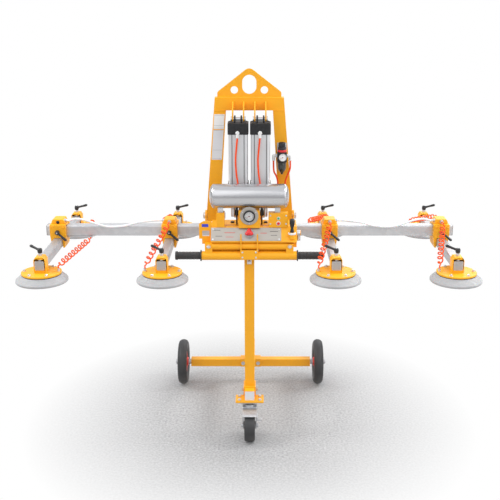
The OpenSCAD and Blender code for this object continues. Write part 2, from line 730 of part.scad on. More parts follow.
module lifting_plate() {
  apex = [0, eye_h - 30];
  corner = [131, 16];
  n = tangent_normal(corner, 14, apex, 30);
  slope_low = corner + 14 * [cos(n - 180), sin(n - 180)];
  m = tangent_normal(apex, 30, corner, 14);
  slope_a = apex + 30 * [cos(m), sin(m)];
  slope_b = corner + 14 * [cos(m), sin(m)];
  color(YELLOW) translate([0, mast_behind + eye_t / 2, crossbar_top]) rotate([90, 0, 0])
    linear_extrude(height = eye_t) difference() {
      union() {
        polygon([[-145, 0], [145, 0], [145, corner[1]], slope_b, slope_a, apex + [0, 30],
                 [-slope_a[0], slope_a[1]], [-slope_b[0], slope_b[1]], [-145, corner[1]]]);
        translate(apex) circle(r = 30);
        for (side = [-1, 1]) translate([side * corner[0], corner[1]]) circle(r = 14);
      }
      for (z = [-1, 1]) translate([0, 57 + z * (eye_slot_h - eye_slot_w) / 2]) circle(r = eye_slot_w / 2);
      translate([-eye_slot_w / 2, 57 - (eye_slot_h - eye_slot_w) / 2])
        square([eye_slot_w, eye_slot_h - eye_slot_w]);
      for (side = [-1, 1]) translate([side * 68, 32]) circle(r = shackle_d / 2);
    }
}

// Tilt pins with their heads, and the upper clevis pins
module pivot_pins() {
  color(STEEL) mirrored_x() {
    along_x(tilt_pin_d / 2, foot_inner - lug_t - 8, mast_foot_half + lug_t + 4, mast_behind, tilt_z);
    along_x(tilt_pin_d / 2 + 5, mast_foot_half + lug_t + 2 + side_gap, mast_foot_half + lug_t + 9,
            mast_behind, tilt_z);
    along_x(tilt_pin_d / 2 + 5, foot_inner - lug_t - 9, foot_inner - lug_t - side_gap,
            mast_behind, tilt_z);
    along_x(clevis_pin_r, cylinder_half_gap - 34, cylinder_half_gap + 33, cylinder_y, clevis_z);
    for (x = [cylinder_half_gap - 34, cylinder_half_gap + 27 + side_gap])
      along_x(clevis_pin_r + 3, x, x + 6 - side_gap, cylinder_y, clevis_z);
  }
}

// Filter regulator in front of the right upright: bracket, body, bowl and gauge
reg_x = 148;
reg_y = mast_front - 36;
reg_z = 1315;
module air_regulator() {
  color(STEEL) {
    block([reg_x - 22, mast_front - 4, reg_z + 20], [reg_x + 22, mast_front, reg_z + 60]);
    block([reg_x - 22, reg_y, reg_z + 22], [reg_x + 22, mast_front - 4, reg_z + 25]);
    mirror_at(reg_x) along_x(7, reg_x + 22, reg_x + 38, reg_y, reg_z + 6);
    mirror_at(reg_x) along_z(6, reg_z - 16, reg_z + 6, reg_x + 38, reg_y);
    mirror_at(reg_x) translate([reg_x + 38, reg_y, reg_z + 6]) sphere(r = 7);
  }
  color(BLACK) difference() {
    union() {
      block([reg_x - 22, reg_y - 20, reg_z - 20], [reg_x + 22, reg_y + 20, reg_z + 22]);
      along_z(19, reg_z + 22, reg_z + 36, reg_x, reg_y);
      translate([reg_x, reg_y, 0]) rotate_extrude() polygon([
        [0, reg_z - 80], [5, reg_z - 80], [8, reg_z - 70], [19, reg_z - 58], [19, reg_z - 20], [0, reg_z - 20]]);
    }
    along_z(6 + fit, reg_z + 28, reg_z + 40, reg_x, reg_y);
  }
  color("white") along_y(18, reg_y - 30, reg_y - 20, reg_x + 3, reg_z + 2);
}

module mirror_at(x) {
  children();
  translate([2 * x, 0, 0]) mirror([1, 0, 0]) children();
}

module regulator_knob() {
  foot = reg_z + 36 + side_gap;
  color(BLACK) translate([reg_x, reg_y, 0]) rotate_extrude() polygon([
    [0, foot - 8], [6, foot - 8], [6, foot], [19, foot], [19, foot + 9], [14, foot + 10],
    [15, foot + 28], [12, foot + 32], [0, foot + 32]]);
}

// A tube swept along its route: rings square to the path, each carried on from the one before
function unit(v) = v / norm(v);
function dropped(v, t) = unit(v - (v * t) * t);
function headings(p) = [for (i = [0:len(p) - 1])
  unit(p[min(i + 1, len(p) - 1)] - p[max(i - 1, 0)])];
function carried(t) = [for (i = 0, u = dropped([0.31, 0.17, 0.93], t[0]); i < len(t);
  i = i + 1, u = i < len(t) ? dropped(u, t[i]) : u) u];
module swept_tube(path, r, sides) {
  t = headings(path);
  u = carried(t);
  last = len(path) - 1;
  points = [for (i = [0:last], s = [0:sides - 1])
    path[i] + r * (cos(s * 360 / sides) * u[i] + sin(s * 360 / sides) * cross(t[i], u[i]))];
  ends = [[for (s = [0:sides - 1]) s], [for (s = [sides - 1:-1:0]) last * sides + s]];
  skin = [for (i = [0:last - 1], s = [0:sides - 1]) let (n = (s + 1) % sides, a = i * sides, b = a + sides)
    each [[a + s, b + n, a + n], [a + s, b + s, b + n]]];
  polyhedron(points = points, faces = concat(ends, skin));
}

// Smooth route through chosen points
function bent(p, i, f) = let (a = p[max(i - 1, 0)], b = p[i], c = p[i + 1], d = p[min(i + 2, len(p) - 1)])
  0.5 * (2 * b + (c - a) * f + (2 * a - 5 * b + 4 * c - d) * f * f + (3 * b - a - 3 * c + d) * f * f * f);
function smooth(p, steps) = concat(
  [for (i = [0:len(p) - 2], k = [0:steps - 1]) bent(p, i, k / steps)], [p[len(p) - 1]]);

// Red air tubes of the regulator, from its elbows to the fittings on the upright
tube_r = 4;
AIR_ROUTES = [
  [[110, -49, 1299], [110, -49, 1290], [112, -50, 1250], [124, -46, 1225], [130, -40, 1200], [130, -37, 1185],
   [130, -37, 1177]],
  [[186, -49, 1299], [186, -49, 1290], [185, -50, 1260], [174, -47, 1230], [166, -41, 1205], [164, -37, 1185],
   [164, -37, 1177]]
];
module air_tubes() {
  color(RED) for (route = AIR_ROUTES) swept_tube(smooth(route, 2), tube_r, 8);
  color(STEEL) for (x = [130, 164]) {
    along_z(7, 1157, 1177, x, -37);
    block([x - 7, -44, 1157], [x + 7, mast_front, 1167]);
  }
}

// A square section with cut corners
module cut_square(w, cut) {
  h = w / 2;
  polygon([[h, cut - h], [h, h - cut], [h - cut, h], [cut - h, h], [-h, h - cut], [-h, cut - h],
           [cut - h, -h], [h - cut, -h]]);
}

// Tilt cylinder at rest: rear head with its clevis, profile barrel and front head
module tilt_cylinder(side) {
  x = side * cylinder_half_gap;
  half = head_w / 2;
  barrel_w = bore_d + 6;
  color(BLACK) difference() {
    union() {
      for (z = [head_top - head_h, head_under])
        translate([x, cylinder_y, z]) linear_extrude(height = head_h) cut_square(head_w, 7);
      for (s = [-1, 1]) {
        block([x + s * 14.5 - 3.5, cylinder_y - 16, head_top - 1], [x + s * 14.5 + 3.5, cylinder_y + 16, clevis_z]);
        along_x(16, x + s * 14.5 - 3.5, x + s * 14.5 + 3.5, cylinder_y, clevis_z);
      }
    }
    along_x(clevis_pin_r + fit, x - 30, x + 30, cylinder_y, clevis_z);
    along_z(bore_d / 2, head_under + 20, head_top - 20, x, cylinder_y);
    along_z(rod_d / 2 + fit, head_under - 1, head_under + 30, x, cylinder_y);
  }
  color(STEEL) difference() {
    translate([x, cylinder_y, head_under + head_h])
      linear_extrude(height = cylinder_len - 2 * head_h) cut_square(barrel_w, 9);
    along_z(bore_d / 2, head_under + 20, head_top - 20, x, cylinder_y);
    // Grooves of the profile, on all four faces
    for (s = [-1, 1], g = [-1, 1]) {
      block([x + g * 24 - 2.5, cylinder_y + s * barrel_w / 2 - 1.6, head_under + head_h - 1],
            [x + g * 24 + 2.5, cylinder_y + s * barrel_w / 2 + 1.6, head_top - head_h + 1]);
      block([x + s * barrel_w / 2 - 1.6, cylinder_y + g * 24 - 2.5, head_under + head_h - 1],
            [x + s * barrel_w / 2 + 1.6, cylinder_y + g * 24 + 2.5, head_top - head_h + 1]);
    }
  }
  // Fittings and the red line between the two heads
  color(STEEL) for (z = [head_top - head_h + 8, head_under + head_h - 8])
    along_y(6, cylinder_y - half - 16, cylinder_y - half, x - 2, z);
  color(RED) translate([x - 2, cylinder_y - half - 10, 0]) swept_tube(
    [[0, 0, head_top - head_h + 8], [0, 0, head_top - head_h - 8], [-5, 0, head_top - head_h - 60],
     [-9, 0, head_under + head_h + 110], [-6, 0, head_under + head_h + 50], [0, 0, head_under + head_h + 8],
     [0, 0, head_under + head_h - 8]], tube_r, 8);
}

// Piston, rod and rod fork; the fork's two pin ends leave the lever between them free
module piston_rod(side) {
  x = side * cylinder_half_gap;
  bridge = lever_pin_z + 38;
  cheek_x = fork_gap + fork_cheek / 2;
  color(STEEL) {
    along_z(bore_d / 2 - fit, piston_z - 22, piston_z, x, cylinder_y);
    along_z(rod_d / 2, bridge + 10, piston_z - 22, x, cylinder_y);
    along_z(rod_d / 2 + 5, bridge + 12, bridge + 22, x, cylinder_y);
    block([x - fork_gap - fork_cheek, cylinder_y - 18, bridge],
          [x + fork_gap + fork_cheek, cylinder_y + 18, bridge + 12]);
    for (s = [-1, 1]) {
      block([x + s * cheek_x - fork_cheek / 2, cylinder_y - 16, lever_pin_z],
            [x + s * cheek_x + fork_cheek / 2, cylinder_y + 16, bridge + 1]);
      along_x(16, x + s * cheek_x - fork_cheek / 2, x + s * cheek_x + fork_cheek / 2, cylinder_y, lever_pin_z);
      along_x(clevis_pin_r + 2, x + s * (cheek_x + fork_cheek / 2 + 1) - 2.5,
              x + s * (cheek_x + fork_cheek / 2 + 1) + 2.5, cylinder_y, lever_pin_z);
    }
  }
}

// Carriage: clamp block on the beam, and the cross arm that it grips, with the arm's end caps
module carriage(k) {
  x = CARRIAGE_X[k];
  half = carriage_w / 2;
  inner = arm_w / 2 - arm_wall;
  beam_slot = beam_w / 2 + slide_gap;
  arm_slot = arm_w / 2 + 0.2;
  translate([x, 0, 0]) {
    color(YELLOW) difference() {
      union() {
        block([-half, -carriage_deep, beam_z - beam_w / 2 - 2], [half, carriage_deep, beam_top + 10]);
        front_plate([[-half, beam_z - 20], [half, beam_z - 20], [half - 8, carriage_floor],
                     [-half + 8, carriage_floor]], -carriage_deep, carriage_deep);
        front_plate([[-half + 6, beam_top + 9], [half - 6, beam_top + 9], [26, hat_top], [-26, hat_top]], -34, 34);
      }
      block([-half - 1, -beam_slot, beam_z - beam_slot], [half + 1, beam_slot, beam_z + beam_slot]);
      block([-arm_slot, -carriage_deep - 1, arm_z - arm_slot], [arm_slot, carriage_deep + 1, arm_z + arm_slot]);
      along_y(5 + fit, -carriage_deep - 1, -beam_w / 2, 0, beam_z);
    }
    color(STEEL) difference() {
      block([-arm_w / 2, -arm_len / 2, arm_z - arm_w / 2], [arm_w / 2, arm_len / 2, arm_z + arm_w / 2]);
      block([-inner, -arm_len / 2 + 12, arm_z - inner], [inner, arm_len / 2 - 12, arm_z + inner]);
    }
    // Hose fittings on the hat: front, rear, and towards the neighbouring carriage
    neighbour = k == 0 || k == 2 ? 1 : -1;
    color(STEEL) {
      for (s = [-1, 1]) along_y(6, s > 0 ? 33 : -48, s > 0 ? 48 : -33, 0, hose_top_z);
      along_x(7, min(neighbour * 26, neighbour * 36), max(neighbour * 26, neighbour * 36), -14, 1008);
      // Air pipe under the beam to the cross fitting of the left outer pads' hoses
      if (HOSE_SIDE[k] > 0) {
        along_x(4.5, half - 1, port_x - x, 0, port_z);
        along_y(6, -20, 20, port_x - x, port_z);
      }
    }
  }
}

// Clamping lever standing on its stud along +Z: the handle rises outwards along +X
module clamp_lever(stud) {
  color(STEEL) translate([0, 0, -stud]) cylinder(r = 5, h = stud + 4);
  color(BLACK) {
    rotate_extrude() polygon([[0, 0], [9, 0], [9, 20], [6, 25], [0, 26]]);
    translate([0, 0, 10]) rotate([0, 90 - 14, 0]) {
      cylinder(r = 5.2, h = lever_reach - 12);
      translate([0, 0, lever_reach - 14]) rotate_extrude()
        polygon([[0, 0], [6.2, 0], [6.2, 9], [4, 12], [0, 12]]);
    }
  }
}

// Lever on a carriage's front face, pointing down to the right
module beam_lever(k) {
  translate([CARRIAGE_X[k], -carriage_deep - side_gap, beam_z]) rotate([90, 0, 0]) rotate(-38)
    clamp_lever(carriage_deep - beam_w / 2 - 2);
}

// Lever on a pad's yoke: the front ones point left and back, the rear ones point right
module pad_lever(k, end) {
  translate([CARRIAGE_X[k], end * pad_y, boss_top + side_gap]) rotate(end < 0 ? 150 : 0)
    clamp_lever(boss_top - arm_top - 1);
}

// Suction pad: a yoke that rides on the arm, its round plate, the screws, and the rubber cup
module suction_pad(k, end) {
  r = pad_d / 2;
  lip = pad_plate_under - pad_h;
  slot = arm_w / 2 + 0.3;
  fitting_x = HOSE_SIDE[k] * (plate_d / 2 - 12);
  translate([CARRIAGE_X[k], end * pad_y, 0]) {
    color(YELLOW) difference() {
      union() {
        along_z(plate_d / 2, pad_plate_under, pad_plate_top, 0, 0);
        front_plate([[-yoke_half, pad_plate_top - 1], [yoke_half, pad_plate_top - 1],
                     [yoke_half, yoke_top - 15], [yoke_half - 10, yoke_top], [-yoke_half + 10, yoke_top],
                     [-yoke_half, yoke_top - 15]], -yoke_len / 2, yoke_len / 2);
        along_z(8, yoke_top - 1, boss_top, 0, 0);
      }
      block([-slot, -yoke_len, arm_z - slot], [slot, yoke_len, arm_top + 6]);
      along_z(5 + fit, arm_top, boss_top + 1, 0, 0);
    }
    // Screws round the plate, and the hose fitting
    color(STEEL) {
      for (i = [0:pad_screws - 1]) rotate(i * 360 / pad_screws + 30)
        translate([plate_d / 2 - 13, 0, pad_plate_top]) hex_head(6, 7);
      along_z(6, pad_plate_top, pad_plate_top + 14, fitting_x, 0);
    }
    color(RUBBER) rotate_extrude($fn = 72) polygon([
      [0, pad_plate_under], [plate_d / 2 - 2, pad_plate_under], [plate_d / 2 + 8, pad_plate_under - 7],
      [r, lip + 9], [r, lip + 2], [r - 3, lip], [r - 22, lip + 15], [60, lip + 22], [0, lip + 22]]);
  }
}

// Curly hoses: each winds along its own route, with a straight end at both fittings
curl_count = 10;
curl_r = 11;
curl_tube_r = 3;
curl_rings = 8;
hose_top_z = beam_top + 22;
hose_foot_z = pad_plate_top + 14;
// The line of a hose's axis, from the carriage to the front pad, for one carriage
function hose_line(k) = let (
    x = CARRIAGE_X[k],
    foot = x + HOSE_SIDE[k] * (plate_d / 2 - 12),
    start = HOSE_SIDE[k] > 0 ? [port_x, -32, port_z] : [x, -60, hose_top_z])
  [start, [foot, -pad_y, hose_foot_z + 12]];
// Points of the winding: the radius grows from nothing at both ends
function wound(a, b, turns) = let (
    d = b - a,
    t = unit(d),
    u = dropped([0, 0, 1], t),
    v = cross(t, u),
    last = turns * curl_rings)
  [for (i = [0:last]) let (f = i / last, e = min(1, turns * min(f, 1 - f)))
    a + d * f + curl_r * e * (sin(i * 360 / curl_rings) * v - cos(i * 360 / curl_rings) * u)];
function curly_path(k) = let (line = hose_line(k), a = line[0], b = line[1])
  concat([a + [0, 12, 0], a + [0, 5, 0]],
         wound(a + [0, -6, 0], b, curl_count),
         [[b[0], b[1], b[2] - 6], [b[0], b[1], hose_foot_z]]);
function mirrored_y(p) = [for (q = p) [q[0], -q[1], q[2]]];
// Least gap between turns that aren't neighbours, measured on the path's points
function least_gap(p) = min([for (i = [0:len(p) - 1], j = [i + 4:1:min(i + 3 * curl_rings, len(p) - 1)])
  norm(p[i] - p[j])]) - 2 * curl_tube_r;

module coil_hoses(k) {
  path = curly_path(k);
  rear = mirrored_y(path);
  echo(str("least gap of hose ", k, " to itself, mm: "), least_gap(path));
  color(RED) {
    swept_tube(path, curl_tube_r, 6);
    swept_tube(rear, curl_tube_r, 6);
  }
}

// White vacuum hose that drapes between an inner and an outer carriage, from fitting to fitting
HOSE_ROUTE = [[411, -14, 1008], [424, -14, 1008], [450, -20, 1008], [490, -34, 1007], [530, -38, 1002],
              [575, -40, 990], [625, -40, 984], [675, -40, 986], [725, -38, 1000], [770, -32, 1014],
              [815, -22, 1017], [846, -14, 1008], [860.6, -14, 1008]];
module vacuum_hose(side) {
  color("white") swept_tube([for (q = HOSE_ROUTE) [side * q[0], q[1], q[2]]], 5, 8);
}

base_spine();
axle_tube();
column();
stand_hardware();
rear_wheel(-1);  // rear_wheel_left
rear_wheel(1);  // rear_wheel_right
caster_fork();
caster_wheel();
caster_brake();
main_beam();
pivot_brackets();
console_body();
panel_plate();
handle_bar();
hand_grips();
air_tank();
vacuum_gauge();
vacuum_ejectors();
vacuum_hose(-1);  // vacuum_hose_left
vacuum_hose(1);  // vacuum_hose_right
valve_lever();
stop_button();
mast_frame();
lifting_plate();
pivot_pins();
air_regulator();
regulator_knob();
air_tubes();
tilt_cylinder(-1);  // tilt_cylinder_left
tilt_cylinder(1);  // tilt_cylinder_right
piston_rod(-1);  // piston_rod_left
piston_rod(1);  // piston_rod_right
carriage(0);  // carriage_left_outer
carriage(1);  // carriage_left_inner
carriage(2);  // carriage_right_inner
carriage(3);  // carriage_right_outer
beam_lever(0);  // beam_lever_left_outer
beam_lever(1);  // beam_lever_left_inner
beam_lever(2);  // beam_lever_right_inner
beam_lever(3);  // beam_lever_right_outer
suction_pad(0, -1);  // front_pad_left_outer
suction_pad(1, -1);  // front_pad_left_inner
suction_pad(2, -1);  // front_pad_right_inner
suction_pad(3, -1);  // front_pad_right_outer
suction_pad(0, 1);  // rear_pad_left_outer
suction_pad(1, 1);  // rear_pad_left_inner
suction_pad(2, 1);  // rear_pad_right_inner
suction_pad(3, 1);  // rear_pad_right_outer
pad_lever(0, -1);  // front_lever_left_outer
pad_lever(1, -1);  // front_lever_left_inner
pad_lever(2, -1);  // front_lever_right_inner
pad_lever(3, -1);  // front_lever_right_outer
pad_lever(0, 1);  // rear_lever_left_outer
pad_lever(1, 1);  // rear_lever_left_inner
pad_lever(2, 1);  // rear_lever_right_inner
pad_lever(3, 1);  // rear_lever_right_outer
coil_hoses(0);  // coil_hoses_left_outer
coil_hoses(1);  // coil_hoses_left_inner
coil_hoses(2);  // coil_hoses_right_inner
coil_hoses(3);  // coil_hoses_right_outer
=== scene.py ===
"""Dressed scene of a glass panel lifter: a tilting mast, a spreader beam with eight suction pads and a
transport stand. Lengths are metres, +Z is up, +X is along the beam and the operator stands at -Y."""
import math

import bpy
import numpy as np
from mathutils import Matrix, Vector


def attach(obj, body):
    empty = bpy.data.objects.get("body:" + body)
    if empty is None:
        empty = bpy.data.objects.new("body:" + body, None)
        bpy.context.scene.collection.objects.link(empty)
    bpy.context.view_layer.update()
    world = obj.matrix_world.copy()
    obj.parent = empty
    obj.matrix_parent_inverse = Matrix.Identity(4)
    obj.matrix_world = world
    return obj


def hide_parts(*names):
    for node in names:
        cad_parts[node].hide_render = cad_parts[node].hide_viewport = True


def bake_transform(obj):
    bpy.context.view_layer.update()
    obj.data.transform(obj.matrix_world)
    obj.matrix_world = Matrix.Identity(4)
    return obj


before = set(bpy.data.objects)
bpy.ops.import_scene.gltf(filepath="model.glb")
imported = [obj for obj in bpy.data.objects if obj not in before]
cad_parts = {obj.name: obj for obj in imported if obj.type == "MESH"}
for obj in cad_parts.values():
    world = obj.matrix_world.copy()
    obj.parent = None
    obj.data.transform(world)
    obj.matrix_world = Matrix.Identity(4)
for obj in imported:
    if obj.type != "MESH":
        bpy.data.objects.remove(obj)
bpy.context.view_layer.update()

# Places shared with the part's source
CARRIAGES = [("left_outer", -0.897), ("left_inner", -0.375), ("right_inner", 0.375), ("right_outer", 0.897)]
HOSE_SIDE = [1, -1, -1, -1]
BEAM_Z, BEAM_TOP, BEAM_HALF = 0.960, 0.985, 0.025
ARM_Z, ARM_HALF, ARM_END = 0.910, 0.020, 0.408
PAD_Y, PAD_TOP, PAD_UNDER = 0.380, 0.877, 0.869
PAD_FITTING_X, PAD_SCREW_R = 0.074, 0.073
YOKE_TOP, BOSS_TOP = 0.947, 0.960
TILT = (0.012, 1.025)
CYLINDER_Y, CLEVIS_Z, HEAD_TOP, HEAD_UNDER, HEAD_HEIGHT = -0.066, 1.490, 1.475, 1.154, 0.049
MAST_FRONT = -0.013
CROSSBAR_TOP = 1.578
PANEL_LOW, PANEL_HIGH = np.array([-0.256, 0.974]), np.array([-0.214, 1.033])
TANK_Y, TANK_Z, TANK_R, TANK_HALF = -0.190, 1.166, 0.054, 0.177
GAUGE = (0, -0.232, 1.086)
REGULATOR = np.array([0.148, -0.049, 1.315])
HANDLE_Y, HANDLE_Z = -0.241, 0.905
VALVE = np.array([0.190, -0.245, 1.011])
AXLE_Y, WHEEL_R, WHEEL_X = 0.350, 0.120, 0.363
CASTER_Y, CASTER_R = -0.270, 0.075
PIPE_END = (-0.749, 0, 0.926)
SIDES = ((-1, "left"), (1, "right"))

# Camera, fitted to the photograph
CAMERA_PLACE, CAMERA_DOWN = (0.036, -3.786, 2.008), 16.9
LENS, SENSOR, LENS_SHIFT = 59.76, 36.0, -0.0146


def added(name, data):
    """A new object in the scene."""
    made = bpy.data.objects.new(name, data)
    bpy.context.scene.collection.objects.link(made)
    return made


def place_camera():
    """Camera 3.79 m in front of the beam and 2 m up, turned 16.9 degrees down and level."""
    lens = bpy.data.cameras.new("photo_camera")
    lens.lens, lens.sensor_width, lens.shift_x, lens.clip_end = LENS, SENSOR, LENS_SHIFT, 60.0
    camera = added("photo_camera", lens)
    camera.location = CAMERA_PLACE
    camera.rotation_euler = (math.radians(90 - CAMERA_DOWN), 0, 0)
    bpy.context.scene.camera = camera


place_camera()


# Shader nodes and groups: each group reads a place on the piece and puts out a colour, a mask or a height

def feed(tree, socket, source):
    """Links a socket to its source, or sets it where the source is a plain value."""
    if isinstance(source, bpy.types.NodeSocket):
        tree.links.new(source, socket)
    else:
        socket.default_value = source


def node(tree, kind, inputs=None, **settings):
    """A shader node with its settings; inputs are sockets or values, by the input's name or number."""
    made = tree.nodes.new("ShaderNode" + kind)
    for key, value in settings.items():
        setattr(made, key, value)
    for key, source in (inputs or {}).items():
        feed(tree, made.inputs[key], source)
    return made


def value_of(tree, operation, a, b, clamp=False):
    """A Math node; a and b are sockets or numbers."""
    return node(tree, "Math", {0: a, 1: b}, operation=operation, use_clamp=clamp).outputs[0]


def blend_colours(tree, factor, a, b):
    """A Mix node from colour a to colour b; each is a socket or four numbers."""
    return node(tree, "Mix", {0: factor, 6: a, 7: b}, data_type="RGBA").outputs[2]


def noise(tree, place, scale, detail, **more):
    """Noise at a place, from 0 to 1."""
    return node(tree, "TexNoise", {"Vector": place, "Scale": scale, "Detail": detail, **more}).outputs["Fac"]


def new_group(name, inputs, outputs):
    """An empty shader group that takes a place and the named inputs; returns it with its inner sockets.
    A socket is a number, or a vector or colour where its value is three or four numbers."""
    group = bpy.data.node_groups.new(name, "ShaderNodeTree")
    group.interface.new_socket(name="Place", in_out="INPUT", socket_type="NodeSocketVector")
    for socket, value in inputs.items():
        kind = {3: "Vector", 4: "Color"}[len(value)] if isinstance(value, tuple) else "Float"
        made = group.interface.new_socket(name=socket, in_out="INPUT", socket_type="NodeSocket" + kind)
        made.default_value = value
    for socket, kind in outputs.items():
        group.interface.new_socket(name=socket, in_out="OUTPUT", socket_type="NodeSocket" + kind)
    return group, group.nodes.new("NodeGroupInput").outputs, group.nodes.new("NodeGroupOutput").inputs


def make_surface_group():
    """Two colours mixed by slow noise, which also shifts the roughness, and fine grain for the height."""
    group, given, out = new_group("surface_grain", {
        "Colour": (0.8, 0.8, 0.8, 1), "Second colour": (0.7, 0.7, 0.7, 1), "Patch scale": 9.0,
        "Grain scale": 900.0, "Roughness": 0.5, "Roughness change": 0.1},
        {"Colour": "Color", "Roughness": "Float", "Height": "Float"})
    patches = noise(group, given["Place"], given["Patch scale"], 4.0)
    feed(group, out["Colour"], blend_colours(group, patches, given["Colour"], given["Second colour"]))
    shift = value_of(group, "MULTIPLY", value_of(group, "SUBTRACT", patches, 0.5), given["Roughness change"])
    feed(group, out["Roughness"], value_of(group, "ADD", given["Roughness"], shift, True))
    feed(group, out["Height"], noise(group, given["Place"], given["Grain scale"], 2.0))
    return group


def make_wear_group():
    """A mask that is 1 on sharp outer edges, broken up by noise."""
    group, given, out = new_group("edge_wear", {"Start": 0.53, "Scale": 120.0}, {"Mask": "Float"})
    past = value_of(group, "SUBTRACT", node(group, "NewGeometry").outputs["Pointiness"], given["Start"])
    specks = value_of(group, "SUBTRACT", noise(group, given["Place"], given["Scale"], 3.0), 0.38)
    feed(group, out["Mask"], value_of(group, "MULTIPLY", value_of(group, "MULTIPLY", past, 14.0, True),
                                      value_of(group, "MULTIPLY", specks, 4.0, True)))
    return group


def make_dust_group():
    """A mask of dust that is thickest at the floor and thins out upwards, in soft patches."""
    group, given, out = new_group("floor_dust", {"Reach": 0.3, "Amount": 0.4}, {"Mask": "Float"})
    height = node(group, "SeparateXYZ", {0: given["Place"]}).outputs["Z"]
    low = value_of(group, "SUBTRACT", 1.0, value_of(group, "DIVIDE", height, given["Reach"]), True)
    mask = value_of(group, "MULTIPLY", low, noise(group, given["Place"], 26.0, 6.0))
    feed(group, out["Mask"], value_of(group, "MULTIPLY", mask, given["Amount"], True))
    return group


def make_spangle_group():
    """Zinc crystals: cells of slightly different grey, each with a tone for its roughness."""
    group, given, out = new_group("zinc_spangle", {
        "Light": (0.8, 0.81, 0.82, 1), "Dark": (0.6, 0.61, 0.63, 1), "Scale": 70.0},
        {"Colour": "Color", "Tone": "Float"})
    cells = node(group, "TexVoronoi", {"Vector": given["Place"], "Scale": given["Scale"]})
    parts = node(group, "SeparateColor", {0: cells.outputs["Color"]})
    feed(group, out["Colour"], blend_colours(group, parts.outputs[0], given["Light"], given["Dark"]))
    feed(group, out["Tone"], parts.outputs[1])
    return group


def make_brush_group():
    """Long thin strokes along one direction: noise stretched by the given amounts."""
    group, given, out = new_group("brushed_strokes", {"Stretch": (1.0, 60.0, 60.0), "Scale": 14.0},
                                  {"Strokes": "Float"})
    stretched = node(group, "VectorMath", {0: given["Place"], 1: given["Stretch"]}, operation="MULTIPLY")
    feed(group, out["Strokes"], noise(group, stretched.outputs[0], given["Scale"], 4.0))
    return group


SURFACE = make_surface_group()
WEAR = make_wear_group()
DUST = make_dust_group()
SPANGLE = make_spangle_group()
BRUSH = make_brush_group()
DUST_COLOUR = (0.42, 0.39, 0.35, 1)
SOCKETS = {"metallic": "Metallic", "coat": "Coat Weight", "transmission": "Transmission Weight",
           "specular": "Specular IOR Level", "sheen": "Sheen Weight", "subsurface": "Subsurface Weight"}


def placed(tree, group, place, **given):
    """The outputs of a shader group in a material, fed with the place and with its own values."""
    values = {key.replace("_", " "): value for key, value in given.items()}
    return node(tree, "Group", {"Place": place, **values}, node_tree=group).outputs


def finish(name, colour, second, roughness=0.5, change=0.1, patch=9.0, grain=900.0, bump=0.02, bump_depth=0.0004,
           wear=None, dust=None, spangle=None, brush=None, **looks):
    """A material from the shader groups. wear is a colour and an amount, dust a reach and an amount, spangle
    and brush the groups' own values, and looks the shader's own sockets. Each mask adds to the roughness."""
    material = bpy.data.materials.new(name)
    material.use_nodes = True
    tree = material.node_tree
    shader = tree.nodes["Principled BSDF"]
    place = node(tree, "TexCoord").outputs["Object"]
    base = placed(tree, SURFACE, place, Colour=(*colour, 1), Second_colour=(*second, 1), Patch_scale=patch,
                  Grain_scale=grain, Roughness=roughness, Roughness_change=change)
    tint, rough, height = base["Colour"], base["Roughness"], base["Height"]

    def rougher(mask, amount):
        return value_of(tree, "ADD", rough, value_of(tree, "MULTIPLY", mask, amount), True)

    if spangle:
        cells = placed(tree, SPANGLE, place, **spangle)
        tint, rough = blend_colours(tree, 0.3, tint, cells["Colour"]), rougher(cells["Tone"], 0.06)
    if brush:
        strokes = placed(tree, BRUSH, place, **brush)["Strokes"]
        height, rough = value_of(tree, "ADD", height, strokes), rougher(strokes, 0.16)
    if wear:
        amount = value_of(tree, "MULTIPLY", placed(tree, WEAR, place)["Mask"], wear[1])
        tint, rough = blend_colours(tree, amount, tint, (*wear[0], 1)), rougher(amount, 0.2)
    if dust:
        mask = placed(tree, DUST, place, Reach=dust[0], Amount=dust[1])["Mask"]
        tint, rough = blend_colours(tree, mask, tint, DUST_COLOUR), rougher(mask, 0.3)
    relief = node(tree, "Bump", {"Strength": bump, "Distance": bump_depth, "Height": height})
    feed(tree, shader.inputs["Base Color"], tint)
    feed(tree, shader.inputs["Roughness"], rough)
    feed(tree, shader.inputs["Normal"], relief.outputs["Normal"])
    shader.inputs["Coat Roughness"].default_value = 0.1
    for key, value in looks.items():
        shader.inputs[SOCKETS[key]].default_value = value
    return material


STEEL_WEAR = ((0.55, 0.28, 0.06), 0.10)
YELLOW = finish("yellow_powder_coat", (0.940, 0.430, 0.012), (0.910, 0.405, 0.010), 0.42, 0.10, grain=650.0,
                bump=0.08, bump_depth=0.0002, wear=STEEL_WEAR, dust=(0.25, 0.05), coat=0.06, patch=3.0, specular=0.35)
GALVANISED = finish("galvanised_tube", (0.58, 0.585, 0.595), (0.50, 0.505, 0.515), 0.34, 0.14, metallic=0.75,
                    grain=500.0, bump=0.05, spangle={"Scale": 55.0}, brush={"Stretch": (1.0, 40.0, 40.0)})
ARM_STEEL = finish("arm_tube_steel", (0.46, 0.465, 0.475), (0.38, 0.385, 0.395), 0.36, 0.12, metallic=0.75,
                   grain=500.0, bump=0.05, spangle={"Scale": 60.0}, brush={"Stretch": (40.0, 1.0, 40.0)})
ZINC = finish("zinc_plate", (0.66, 0.67, 0.69), (0.52, 0.53, 0.55), 0.30, 0.15, metallic=0.85, patch=22.0,
              bump=0.06, dust=(0.25, 0.35), wear=((0.82, 0.83, 0.85), 0.4))
PANEL_METAL = finish("brushed_panel", (0.46, 0.43, 0.385), (0.40, 0.37, 0.33), 0.38, 0.08, metallic=0.6,
                     patch=12.0, bump=0.05, brush={"Stretch": (1.0, 70.0, 70.0), "Scale": 16.0})
POLISHED = finish("polished_tank", (0.54, 0.54, 0.55), (0.50, 0.50, 0.51), 0.17, 0.05, metallic=0.9, patch=5.0,
                  grain=300.0, bump=0.015, brush={"Stretch": (1.0, 30.0, 30.0), "Scale": 8.0})
